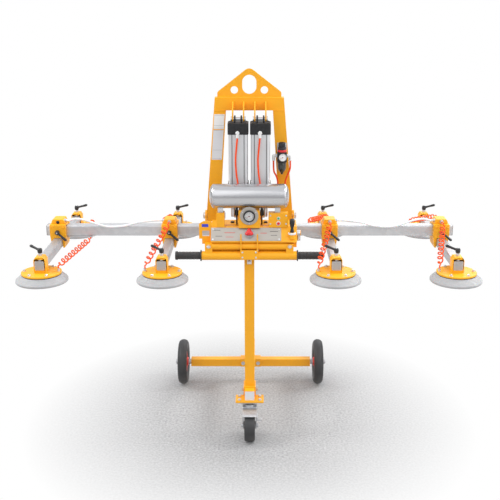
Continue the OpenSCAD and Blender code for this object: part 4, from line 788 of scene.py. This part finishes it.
def make_mast():
    """Painted mast and lifting plate, weld beads, plain label plates, and the caps of the tilt's pins."""
    dress(["mast_frame", "lifting_plate"], YELLOW)
    dress(["pivot_pins"], ZINC)
    rng = np.random.default_rng(7)
    beads = [weld_bead((side * 0.108, side * 0.160), y, CROSSBAR_TOP - 0.057, 40, 0.0020, 0.0005, rng)
             for side in (-1, 1) for y in (MAST_FRONT, MAST_FRONT + 0.050)]
    beads += [weld_bead((-0.143, 0.143), y, CROSSBAR_TOP, 160, 0.0022, 0.0006, rng) for y in (0.006, 0.018)]
    group_of("mast_weld_beads", beads, YELLOW, "mast", angle=60)
    group_of("mast_upper_plate", [upright_plate(1.437, 1.504)], WHITE_PRINT, "mast")
    group_of("mast_lower_plate", [upright_plate(1.296, 1.433)], GREY_PRINT, "mast")
    group_of("mast_plate_rules", [upright_plate(z, z + 0.0012, 0.0215, 0.0010)
                                  for z in (1.441, 1.452, 1.499, 1.300, 1.340, 1.429)], GREY_PLASTIC, "mast")
    cap = [(0.0120, -0.0015), (0.0150, -0.0015), (0.0155, 0.0), (0.0130, 0.0014), (0.0, 0.0016)]
    group_of("tilt_pin_caps", [turned_shape(cap, (side * x, *TILT), pointing("x", side * way), 40)
                               for side in (-1, 1) for x, way in ((0.2175, 1), (0.1155, -1))], ZINC, "mast")


def make_regulator():
    """Filter regulator: bracket, body with a black gauge, red ring, ribbed knob, smoked bowl and elbows."""
    x, y, z = REGULATOR
    body = group_of("regulator_body", [
        box_shape(REGULATOR - (0.0215, 0.0195, 0.0195), REGULATOR + (0.0215, 0.0195, 0.0215)),
        turned_shape([(0.019, 0.0215), (0.019, 0.0350), (0.0175, 0.0360), (0.0, 0.0360)], REGULATOR, "z", 48)],
        BLACK_PLASTIC, "mast", bevel=0.0025)
    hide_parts("air_regulator")
    turned("regulator_red_ring", [(0.0188, 0.0240), (0.0208, 0.0246), (0.0208, 0.0334), (0.0188, 0.0340)],
           REGULATOR, "z", RED_BUTTON, "mast", 48, ring=True)
    bracket = [box_shape((x - 0.022, MAST_FRONT - 0.004, z + 0.020), (x + 0.022, MAST_FRONT, z + 0.060)),
               box_shape((x - 0.022, y + 0.016, z + 0.0218), (x + 0.022, MAST_FRONT - 0.003, z + 0.0250))]
    for offset in (-0.013, 0.013):
        bracket += hexagon_shapes((x + offset, MAST_FRONT - 0.004, z + 0.050), "y", 0.005, 0.0045, -1)
    group_of("regulator_bracket", bracket, ZINC, "mast", bevel=0.0006)
    turned("regulator_bowl", [(0.0035, -0.080), (0.0050, -0.078), (0.0070, -0.072), (0.0115, -0.066),
                              (0.0170, -0.058), (0.0186, -0.050), (0.0190, -0.040), (0.0190, -0.022),
                              (0.0180, -0.0195)], REGULATOR, "z", DARK_BOWL, "mast", 56, angle=60)
    turned("bowl_retaining_ring", [(0.0191, -0.0260), (0.0202, -0.0255), (0.0202, -0.0205), (0.0191, -0.0200)],
           REGULATOR, "z", BLACK_PLASTIC, "mast", 56, ring=True)
    gauge = REGULATOR + (0.003, -0.0195, 0.002)
    turned("regulator_gauge_case", [(0.0176, 0.0), (0.0190, 0.0015), (0.0193, 0.0090), (0.0184, 0.0104),
                                    (0.0176, 0.0104), (0.0174, 0.0086)], gauge, FACING, BLACK_PLASTIC, "mast", 56,
           ring=True)
    turned("regulator_gauge_face", [(0.0177, 0.0), (0.0177, 0.0076), (0.0, 0.0077)], gauge, FACING, WHITE_PRINT,
           "mast", 56)
    make_dial(gauge - (0, 0.0077, 0), 0.0160, "mast", "regulator_gauge_dial", marks=9)
    elbows = []
    for side in (-1, 1):
        elbows += [turned_shape([(0.0078, 0.0215), (0.0078, 0.0300), (0.0062, 0.0305), (0.0062, 0.0400),
                                 (0.0030, 0.0440), (0.0, 0.0442)], (x, y, z + 0.006), pointing("x", side), 32),
                   turned_shape([(0.0060, -0.0160), (0.0068, -0.0150), (0.0068, -0.0050), (0.0060, 0.006)],
                                (x + side * 0.038, y, z), "z", 32)]
    group_of("regulator_elbows", elbows, WHITE_PLASTIC, "mast")
    # Knob: 24 flutes on its upper part, above its wide foot
    rows = np.array([(0.0190, 0.0), (0.0190, 0.0080), (0.0180, 0.0092), (0.0148, 0.0100), (0.0146, 0.0140),
                     (0.0150, 0.0270), (0.0135, 0.0305), (0.0100, 0.0319)])
    t = np.linspace(0, 2 * np.pi, 96, endpoint=False)
    depth = np.where((rows[:, 1:] > 0.009) & (rows[:, 1:] < 0.030), 0.0006, 0.0)
    knob = fluted("regulator_adjuster", rows[:, :1] + depth * np.clip(2 * np.cos(24 * t), -1, 1), rows[:, 1],
                  REGULATOR + (0, 0, 0.0364), AXES["z"], BLACK_PLASTIC, "regulator_knob", 40.0)
    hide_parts("regulator_knob")


def red_tube(name, route, radius, body):
    """A red air tube through the points of its route, fixed at both ends."""
    line = through(route, 10)
    piece = stored(name, *tube_shape(line, radius, (0, 1, 0), 20), RED_TUBE, body, 60.0)
    return piece


AIR_ROUTES = [
    [(0.110, -0.049, 1.299), (0.110, -0.049, 1.290), (0.112, -0.050, 1.250), (0.124, -0.046, 1.225),
     (0.130, -0.040, 1.200), (0.130, -0.037, 1.185), (0.130, -0.037, 1.177)],
    [(0.186, -0.049, 1.299), (0.186, -0.049, 1.290), (0.185, -0.050, 1.260), (0.174, -0.047, 1.230),
     (0.166, -0.041, 1.205), (0.164, -0.037, 1.185), (0.164, -0.037, 1.177)]]


def make_air_tubes():
    """Two red tubes from the regulator's elbows to the fittings on the upright."""
    first, _ = [red_tube("regulator_tube_%d" % (k + 1), route, 0.004, "mast") for k, route in enumerate(AIR_ROUTES)]
    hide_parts("air_tubes")
    fittings = []
    for x in (0.130, 0.164):
        fittings += [turned_shape([(0.0070, 1.158), (0.0070, 1.1700), (0.0062, 1.1710), (0.0062, 1.1765)],
                                  (x, -0.037, 0), "z", 6),
                     box_shape((x - 0.0068, -0.044, 1.1575), (x + 0.0068, MAST_FRONT, 1.1668))]
    group_of("tube_wall_fittings", fittings, ZINC, "mast", bevel=0.0006)


def make_cylinder(side, word):
    """One tilt cylinder: black heads with a clevis, silver barrel with grooves, screws, fittings and a red line."""
    x, body = side * 0.050, "tilt_cylinders"
    head_half, barrel_half = 0.0465, 0.043
    low, high = HEAD_UNDER + HEAD_HEIGHT, HEAD_TOP - HEAD_HEIGHT
    heads = [extruded_shape(rounded_square(head_half, 0.009, 4) + [x, CYLINDER_Y], "z", z, z + HEAD_HEIGHT)
             for z in (high, HEAD_UNDER)]
    ear = [(CYLINDER_Y + 0.016 * math.cos(t), CLEVIS_Z + 0.016 * math.sin(t))
           for t in np.radians(np.linspace(0, 180, 17))]
    ear += [(CYLINDER_Y - 0.016, HEAD_TOP - 0.001), (CYLINDER_Y + 0.016, HEAD_TOP - 0.001)]
    heads += [extruded_shape(ear, "x", x + s * 0.0145 - 0.0035, x + s * 0.0145 + 0.0035) for s in (-1, 1)]
    head = group_of("cylinder_heads_" + word, heads, BLACK_CAST, body, bevel=0.0014)
    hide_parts("tilt_cylinder_" + word)
    # Barrel: a rounded square with two grooves on each face, and dark grey strips of painted shade on the grooves'
    # floors
    b, groove = barrel_half, barrel_half - 0.0022
    outline = four_times(np.array([(b, -0.0350), (b, -0.0290), (groove, -0.0286), (groove, -0.0254), (b, -0.0250),
                                   (b, 0.0250), (groove, 0.0254), (groove, 0.0286), (b, 0.0290), (b, 0.0350),
                                   (b - 0.0025, 0.0405)])) + [x, CYLINDER_Y]
    barrel = group_of("cylinder_barrel_" + word, [extruded_shape(outline, "z", low, high)], ANODISED, body,
                      bevel=0.0004, angle=25)
    floors = []
    for a, c in ((1, 0), (-1, 0), (0, 1), (0, -1)):
        for g in (-0.0270, 0.0270):
            middle = np.array([x + a * (b - 0.0020) + c * g, CYLINDER_Y + c * (b - 0.0020) + a * g])
            size = np.array([0.0003 * abs(a) + 0.0015 * abs(c), 0.0003 * abs(c) + 0.0015 * abs(a)])
            floors.append(box_shape((*(middle - size), low), (*(middle + size), high)))
    group_of("cylinder_groove_shade_floors_" + word, floors, SHADOW_GREY, body)
    screw = [(0.0062, -0.001), (0.0062, 0.0010), (0.0052, 0.0018), (0.0034, 0.0018), (0.0034, 0.0006), (0.0, 0.0006)]
    group_of("cylinder_head_screws_" + word, [
        turned_shape(screw, (x + a * 0.035, CYLINDER_Y + c * 0.035, z), pointing("z", way), 24)
        for a, c in ((-1, -1), (1, -1), (1, 1), (-1, 1)) for z, way in ((HEAD_TOP, 1), (HEAD_UNDER, -1))],
        BLACK_CAST, body)
    fittings = []
    for z in (high + 0.008, low - 0.008):
        fittings += [turned_shape([(0.0088, 0.0), (0.0088, 0.0120), (0.0078, 0.0146), (0.0050, 0.0158), (0.0, 0.0160)],
                                  (x - 0.002, CYLINDER_Y - head_half, z), FACING, 28),
                     turned_shape([(0.0054, -0.0210), (0.0062, -0.0200), (0.0066, 0.0)],
                                  (x - 0.002, CYLINDER_Y - head_half - 0.0100, z), "z", 24)]
    group_of("cylinder_fittings_" + word, fittings, WHITE_PLASTIC, body)
    red_tube("cylinder_line_" + word, [(x - left, CYLINDER_Y - head_half - 0.010, z) for left, z in (
        (0.002, high + 0.008), (0.002, high - 0.008), (0.007, high - 0.060), (0.011, low + 0.110),
        (0.008, low + 0.050), (0.002, low + 0.008), (0.002, low - 0.008))], 0.0038, body)


# Carriages, pads and levers

def make_carriage(number):
    """Clamp block with its hat, arm tube with caps, fittings and bolts."""
    word, x = CARRIAGES[number]
    body = "carriage_" + word
    floor, top, hat = 0.884, BEAM_TOP + 0.010, BEAM_TOP + 0.032
    gap, cheek = 0.0203, 0.0256
    # Cheeks in front of and behind the beam, a roof, a hat, and the saddle's two sides by the arm
    outline = symmetric([(gap, ARM_Z + gap), (gap, floor), (0.029, floor), (0.037, BEAM_Z - 0.018), (0.037, top)],
                        x, 4)
    shapes = [extruded_shape(outline, "y", *span) for span in ((-0.050, -cheek), (cheek, 0.050))]
    shapes.append(box_shape((x - 0.037, -cheek, BEAM_TOP + 0.0006), (x + 0.037, cheek, top)))
    shapes.append(extruded_shape(symmetric([(0.031, top - 0.0005), (0.030, hat - 0.012), (0.024, hat)], x, 1),
                                 "y", -0.034, 0.034))
    for side in (-1, 1):
        saddle = [(x + side * out, z) for out, z in ((gap, floor), (0.029, floor), (0.0365, BEAM_Z - cheek),
                                                     (gap, BEAM_Z - cheek))]
        shapes.append(extruded_shape(saddle, "y", -cheek, cheek))
    block = group_of("clamp_block_" + word, shapes, YELLOW, body, bevel=0.0018)
    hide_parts(body)
    arm = square_tube("arm_tube_" + word, "y", -ARM_END, ARM_END, (x, ARM_Z), ARM_HALF, 0.003, ARM_STEEL, body, 0.004)
    group_of("arm_caps_" + word, [
        extruded_shape(rounded_square(0.0190, 0.004) + [x, ARM_Z], "y", *sorted((end * 0.400, end * 0.4079)))
        for end in (-1, 1)], GREY_PLASTIC, body, bevel=0.0008)
    bolts = []
    for end in (-1, 1):
        for a in (-0.027, 0.027):
            bolts += hexagon_shapes((x + a, end * 0.050, BEAM_TOP - 0.002), "y", 0.0045, 0.0040, end)
            bolts += hexagon_shapes((x + a * 0.9, end * 0.050, BEAM_Z - 0.045), "y", 0.0040, 0.0040, end)
    group_of("clamp_bolts_" + word, bolts, YELLOW, body)
    # The left outer carriage has plugs on its hat and its hose fittings on a pipe beside it
    plugged = HOSE_SIDE[number] > 0
    fittings = [] if plugged else [
        turned_shape([(0.0080, 0.033), (0.0080, 0.0385), (0.0060, 0.039), (0.0060, 0.0480)],
                     (x, 0, BEAM_TOP + 0.022), pointing("y", end), 24) for end in (-1, 1)]
    fittings.append(turned_shape([(0.0085, 0.0270), (0.0085, 0.0310), (0.0070, 0.0315), (0.0070, 0.0360)],
                                 (x, -0.014, 1.008), pointing("x", 1 if number in (0, 2) else -1), 28))
    if plugged:
        pipe = np.linspace((x + 0.036, 0, PIPE_END[2]), PIPE_END, 12)
        fittings += [tube_shape(pipe, 0.0045, (0, 0, 1)),
                     turned_shape(both_ways([(0.0052, -0.020), (0.0060, -0.0195)]), PIPE_END, "y", 24)]
    group_of("hose_fittings_" + word, fittings, ZINC, body)
    if plugged:
        plug = [(0.0076, 0.033), (0.0076, 0.0362), (0.0062, 0.0374), (0.0030, 0.0378), (0.0, 0.0378)]
        group_of("hat_plugs_" + word, [turned_shape(plug, (x, 0, BEAM_TOP + 0.018), pointing("y", end), 32)
                                       for end in (-1, 1)], BLACK_PLASTIC, body)


def make_clamp_lever(name, body, base, turn, up):
    """Clamping lever: a ball-like hub on a stud, and a straight handle that swells towards its rounded tip.
    base is the hub's foot, turn the handle's direction and up the stud's direction, as unit vectors."""
    base, turn, up = (np.asarray(k, float) for k in (base, turn, up))
    side = np.cross(up, turn)
    axes = (turn, side, up)
    hub = turned_shape([(0.0078, 0.0), (0.0094, 0.0012), (0.0104, 0.0050), (0.0106, 0.0110), (0.0100, 0.0160),
                        (0.0082, 0.0196), (0.0056, 0.0214), (0.0040, 0.0216), (0.0038, 0.0204), (0.0, 0.0204)],
                       base, axes, 36)
    s = np.linspace(0, 1, 25)
    rise, reach = math.radians(14), 0.0580
    line = base + up * 0.0115 + (turn * math.cos(rise) + up * math.sin(rise)) * (reach * s)[:, None]
    radius = 0.0066 - 0.0014 * np.sin(np.pi * np.clip(s * 1.25, 0, 1)) - 0.0004 * s
    radius[-4:] = radius[-4] * np.sqrt(np.clip(1 - np.array([0, 0.35, 0.7, 0.97]) ** 2, 0.02, 1))
    lever = group_of(name, [hub, tube_shape(line, radius, side, 20)], BLACK_PLASTIC, body, angle=50)
    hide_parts(body)
    group_of(name + "_stud", [
        turned_shape([(0.0050, -0.0220), (0.0050, 0.0010)], base, axes, 24),
        turned_shape([(0.0037, 0.0196), (0.0037, 0.0212), (0.0030, 0.0219), (0.0, 0.0219)], base, axes, 24)],
        ZINC, body)


def make_levers(number):
    """Clamp levers of one carriage and of its two pads."""
    word, x = CARRIAGES[number]
    a, b = math.radians(-38), math.radians(150)
    lever_foot = BOSS_TOP + 0.0004
    make_clamp_lever("block_lever_" + word, "beam_lever_" + word, (x, -0.0504, 0.960),
                     (math.cos(a), 0, math.sin(a)), (0, -1, 0))
    make_clamp_lever("front_yoke_lever_" + word, "front_lever_" + word, (x, -PAD_Y, lever_foot),
                     (math.cos(b), math.sin(b), 0), (0, 0, 1))
    make_clamp_lever("rear_yoke_lever_" + word, "rear_lever_" + word, (x, PAD_Y, lever_foot), (1, 0, 0), (0, 0, 1))


def make_pad(number, side):
    """Suction pad: yoke, round plate, screws, rubber cup with rings, and the hose's fitting."""
    word, x = CARRIAGES[number]
    end = "front" if side < 0 else "rear"
    body, y = "%s_pad_%s" % (end, word), side * PAD_Y
    suffix = "_%s_%s" % (end, word)
    # Yoke: two cheeks and a bridge with cut corners, open in front round the arm
    foot = PAD_TOP - 0.001
    outline = symmetric([(0.0203, 0.9360), (0.0203, foot), (0.0255, foot), (0.0255, 0.9330), (0.0165, YOKE_TOP)],
                        x, 3)
    yoke = group_of("yoke" + suffix, [
        extruded_shape(outline, "y", y - 0.025, y + 0.025),
        box_shape((x - 0.0203, y - 0.025, foot), (x + 0.0203, y + 0.025, 0.8893))], YELLOW, body, bevel=0.0014)
    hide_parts(body)
    plate_under = PAD_UNDER + 0.0002
    turned("pad_plate" + suffix, [(0.0, plate_under), (0.0850, plate_under), (0.0860, PAD_UNDER + 0.0012),
                                  (0.0860, PAD_TOP - 0.0012), (0.0850, PAD_TOP), (0.0, PAD_TOP)],
           (x, y, 0), "z", YELLOW, body, 96)
    # Five screws; the hose's fitting takes the sixth place of the circle
    screws = []
    for k in range(1, 6):
        a = math.radians(60 * k + (0 if HOSE_SIDE[number] > 0 else 180))
        place = (x + PAD_SCREW_R * math.cos(a), y + PAD_SCREW_R * math.sin(a), PAD_TOP)
        screws += hexagon_shapes(place, "z", 0.0062, 0.0070)
        screws.append(turned_shape([(0.0032, 0.0060), (0.0032, 0.0076), (0.0024, 0.0084), (0.0, 0.0084)],
                                   place, "z", 16))
    # The boss under the lever, the disc between the arm and the yoke's bridge, and the hose's fitting
    arm_top = ARM_Z + ARM_HALF
    screws += [
        turned_shape([(0.0080, YOKE_TOP - 0.001), (0.0080, BOSS_TOP - 0.0008), (0.0072, BOSS_TOP)], (x, y, 0), "z", 32),
        turned_shape([(0.0085, arm_top + 0.0003), (0.0095, arm_top + 0.0012), (0.0095, 0.9350), (0.0085, 0.9362)],
                     (x, y - 0.010, 0), "z", 32),
        turned_shape([(0.0068, 0), (0.0068, 0.006), (0.0060, 0.0065), (0.0060, 0.0140)],
                     (x + HOSE_SIDE[number] * PAD_FITTING_X, y, PAD_TOP), "z", 24)]
    group_of("pad_screws" + suffix, screws, ZINC, body)
    # A thin black ring under the plate's edge: painted shade between the plate and the cup
    turned("pad_gasket" + suffix, [(0.0700, -0.0034), (0.0852, -0.0034), (0.0858, -0.0020), (0.0858, -0.0002),
                                   (0.0700, -0.0002)], (x, y, PAD_UNDER), "z", BLACK_PLASTIC, body, 96, ring=True)
    # Cup: the upper skin falls in six fine rings to the lip, the lower skin rises to the recess
    near, far = 0.084, 0.1095
    r = np.linspace(far, near, 84)
    f = (r - near) / (far - near)
    skin = 0.8685 - 0.0235 * f - 0.0006 * np.sin(f * 6 * 2 * np.pi)
    cup = turned("rubber_cup" + suffix, [
        (0.0, 0.8560), (0.0600, 0.8560), (0.0900, 0.8490), (0.1090, 0.8345), (0.1108, 0.8340), (0.1120, 0.8360),
        (0.1120, 0.8420), (0.1112, 0.8440), *zip(r, skin), (0.0820, 0.8690), (0.0, 0.8690)],
        (x, y, 0), "z", CUP_RUBBER, body, 96, angle=50)


# Hoses that hang between two bodies

def mirrored(points, side):
    """Points with Y turned round for the rear side."""
    points = np.array(points, float)
    points[..., 1] *= side
    return points


def coil_line(number, side, turns=10, steps=24):
    """The coiled hose's line: straight out of its fitting, turns of 11 mm radius round the axis between the
    fittings, whose radius grows from nothing at both ends, and straight down into the pad's fitting."""
    x = CARRIAGES[number][1]
    foot = np.array([x + HOSE_SIDE[number] * PAD_FITTING_X, -PAD_Y, PAD_TOP + 0.014])
    start = np.array([PIPE_END[0], -0.032, PIPE_END[2]] if HOSE_SIDE[number] > 0 else [x, -0.060, BEAM_TOP + 0.022])
    a, b = start + [0, -0.006, 0], foot + [0, 0, 0.012]
    f = np.linspace(0, 1, turns * steps + 1)
    d = b - a
    t = d / np.linalg.norm(d)
    u = np.array([0, 0, 1]) - t[2] * t
    u /= np.linalg.norm(u)
    v = np.cross(t, u)
    radius = 0.011 * np.minimum(1, turns * np.minimum(f, 1 - f))
    angle = 2 * np.pi * turns * f
    winding = a + f[:, None] * d + radius[:, None] * (np.sin(angle)[:, None] * v - np.cos(angle)[:, None] * u)
    line = np.concatenate([[start + [0, 0.012, 0], start + [0, 0.005, 0]], winding, [b - [0, 0, 0.006], foot]])
    return mirrored(line, -side), mirrored(t, -side)


def blended_hose(name, line, radius, across, sides, material, node_name):
    """A hanging hose, baked where it hangs and riding on no body; the named CAD node, if any, is hidden."""
    piece = stored(name, *tube_shape(line, radius, across, sides), material, None, 60.0)
    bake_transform(piece)
    if node_name:
        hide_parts(node_name)


def make_coils(number):
    """The two red coiled hoses of one carriage, each stretching between its carriage and its pad."""
    word = CARRIAGES[number][0]
    for side, end in ((-1, "front"), (1, "rear")):
        line, across = coil_line(number, side)
        blended_hose("coil_hose_%s_%s" % (end, word), line, 0.003, across, 14, RED_HOSE,
                     "coil_hoses_" + word if side < 0 else None)


HOSE_ROUTE = np.array([(0.411, -0.014, 1.008), (0.424, -0.014, 1.008), (0.450, -0.020, 1.008), (0.490, -0.034, 1.007),
                       (0.530, -0.038, 1.002), (0.575, -0.040, 0.990), (0.625, -0.040, 0.984), (0.675, -0.040, 0.986),
                       (0.725, -0.038, 1.000), (0.770, -0.032, 1.014), (0.815, -0.022, 1.017), (0.846, -0.014, 1.008),
                       (0.8606, -0.014, 1.008)])


def make_white_hoses():
    """The white hoses that drape in front of the beam between an inner and an outer carriage. Each is two
    halves that meet in the middle of its line."""
    for side, word in SIDES:
        line = through(HOSE_ROUTE * [side, 1, 1], 8)
        half = len(line) // 2
        for end, run, bodies in (("inner", line[:half + 1], ("carriage_%s_inner" % word, "frame")),
                                 ("outer", line[half:], ("frame", "carriage_%s_outer" % word))):
            blended_hose("draped_hose_%s_%s" % (word, end), run, 0.005, (0, 0, 1), 20, WHITE_HOSE,
                         "vacuum_hose_" + word if end == "inner" else None)


make_white_hoses()
for place in range(4):
    make_coils(place)
make_stand()
make_beam()
make_console()
make_switch_box()
make_valve()
make_grips()
make_tank()
make_gauge()
make_ejectors()
make_mast()
make_regulator()
make_air_tubes()
for way, word in SIDES:
    make_cylinder(way, word)
dress(["piston_rod_left", "piston_rod_right"], CHROME)
for place in range(4):
    make_carriage(place)
    make_levers(place)
    for way in (-1, 1):
        make_pad(place, way)


# Studio: pale speckled floor that fades to white, soft lamps and a pale world

def mixed_into(tree, end, factor, plain, shown):
    """Mixes two shaders and gives the result to the tree's last node."""
    mix = node(tree, "MixShader", {0: factor, 1: plain.outputs[0], 2: shown.outputs[0]})
    feed(tree, tree.nodes[end].inputs["Surface"], mix.outputs[0])


def seen(tree, other):
    """1 for the camera's rays and for one other kind of ray, 0 for the rest."""
    rays = node(tree, "LightPath").outputs
    return value_of(tree, "MAXIMUM", rays["Is Camera Ray"], rays[other])


def floor_material():
    """Grey floor with fine speckle; away from the lifter it shows as plain white to the camera."""
    material = bpy.data.materials.new("studio_floor")
    material.use_nodes = True
    tree = material.node_tree
    shader = tree.nodes["Principled BSDF"]
    place = node(tree, "TexCoord").outputs["Object"]
    speckle = noise(tree, place, 95.0, 6.0, Roughness=0.7)
    spread = value_of(tree, "MULTIPLY", value_of(tree, "SUBTRACT", speckle, 0.3), 2.5, True)
    feed(tree, shader.inputs["Base Color"],
         blend_colours(tree, spread, (0.53, 0.53, 0.53, 1), (0.23, 0.23, 0.23, 1)))
    shader.inputs["Roughness"].default_value = 0.75
    white = node(tree, "Emission", {"Color": (1, 1, 1, 1), "Strength": 1.0})
    distance = node(tree, "VectorMath", {0: place}, operation="LENGTH").outputs["Value"]
    fade = value_of(tree, "MULTIPLY", value_of(tree, "SUBTRACT", distance, 0.45), 1.5, True)
    factor = value_of(tree, "MULTIPLY", fade, seen(tree, "Is Glossy Ray"))
    mixed_into(tree, "Material Output", factor, shader, white)
    return material


def make_world():
    """Light of the studio: strongest overhead, dimmer low in front, with a dark band just above the horizon.
    The camera sees plain white instead."""
    world = bpy.data.worlds.new("pale_studio")
    world.use_nodes = True
    bpy.context.scene.world = world
    tree = world.node_tree
    light = tree.nodes["Background"]
    height = node(tree, "SeparateXYZ", {0: node(tree, "TexCoord").outputs["Generated"]}).outputs["Z"]
    ramp = node(tree, "ValToRGB", {
        "Fac": value_of(tree, "ADD", value_of(tree, "MULTIPLY", height, 0.5), 0.5)})
    for k, (position, level) in enumerate(((0.0, 0.50), (0.48, 0.50), (0.53, 0.46), (0.62, 0.68), (0.80, 1.0),
                                           (1.0, 0.9))):
        stop = ramp.color_ramp.elements[k] if k < 2 else ramp.color_ramp.elements.new(position)
        stop.position = position
        stop.color = (level, level * 1.01, level * 1.04, 1)
    feed(tree, light.inputs["Color"], ramp.outputs["Color"])
    light.inputs["Strength"].default_value = 1.08
    shown = node(tree, "Background", {"Color": (1, 1, 1, 1), "Strength": 1.0})
    mixed_into(tree, "World Output", seen(tree, "Is Transmission Ray"), light, shown)


def make_studio():
    """Floor, world and five soft lamps."""
    mesh = bpy.data.meshes.new("studio_floor")
    mesh.from_pydata([(-14, -8, 0), (14, -8, 0), (14, 16, 0), (-14, 16, 0)], [], [(0, 1, 2, 3)])
    mesh.materials.append(floor_material())
    added("studio_floor", mesh)
    make_world()
    for name, place, target, size, power in (
            ("key_lamp", (-2.0, -2.8, 3.8), (0, 0, 0.9), 4.4, 44.0),
            ("fill_lamp", (2.8, -2.6, 2.6), (0, 0, 0.9), 4.0, 50.0),
            ("left_lamp", (-3.0, 0.0, 3.3), (0, 0, 0.4), 1.1, 70.0),
            ("right_lamp", (3.0, 0.5, 3.3), (0, 0, 0.4), 1.1, 85.0),
            ("rear_lamp", (1.2, 3.0, 2.6), (0, 0, 1.0), 2.0, 20.0)):
        light = bpy.data.lights.new(name, "AREA")
        light.energy, light.size = power, size
        lamp = added(name, light)
        lamp.location = place
        lamp.rotation_euler = (Vector(target) - Vector(place)).to_track_quat("-Z", "Y").to_euler()
    bpy.context.scene.view_settings.view_transform = "Standard"


make_studio()
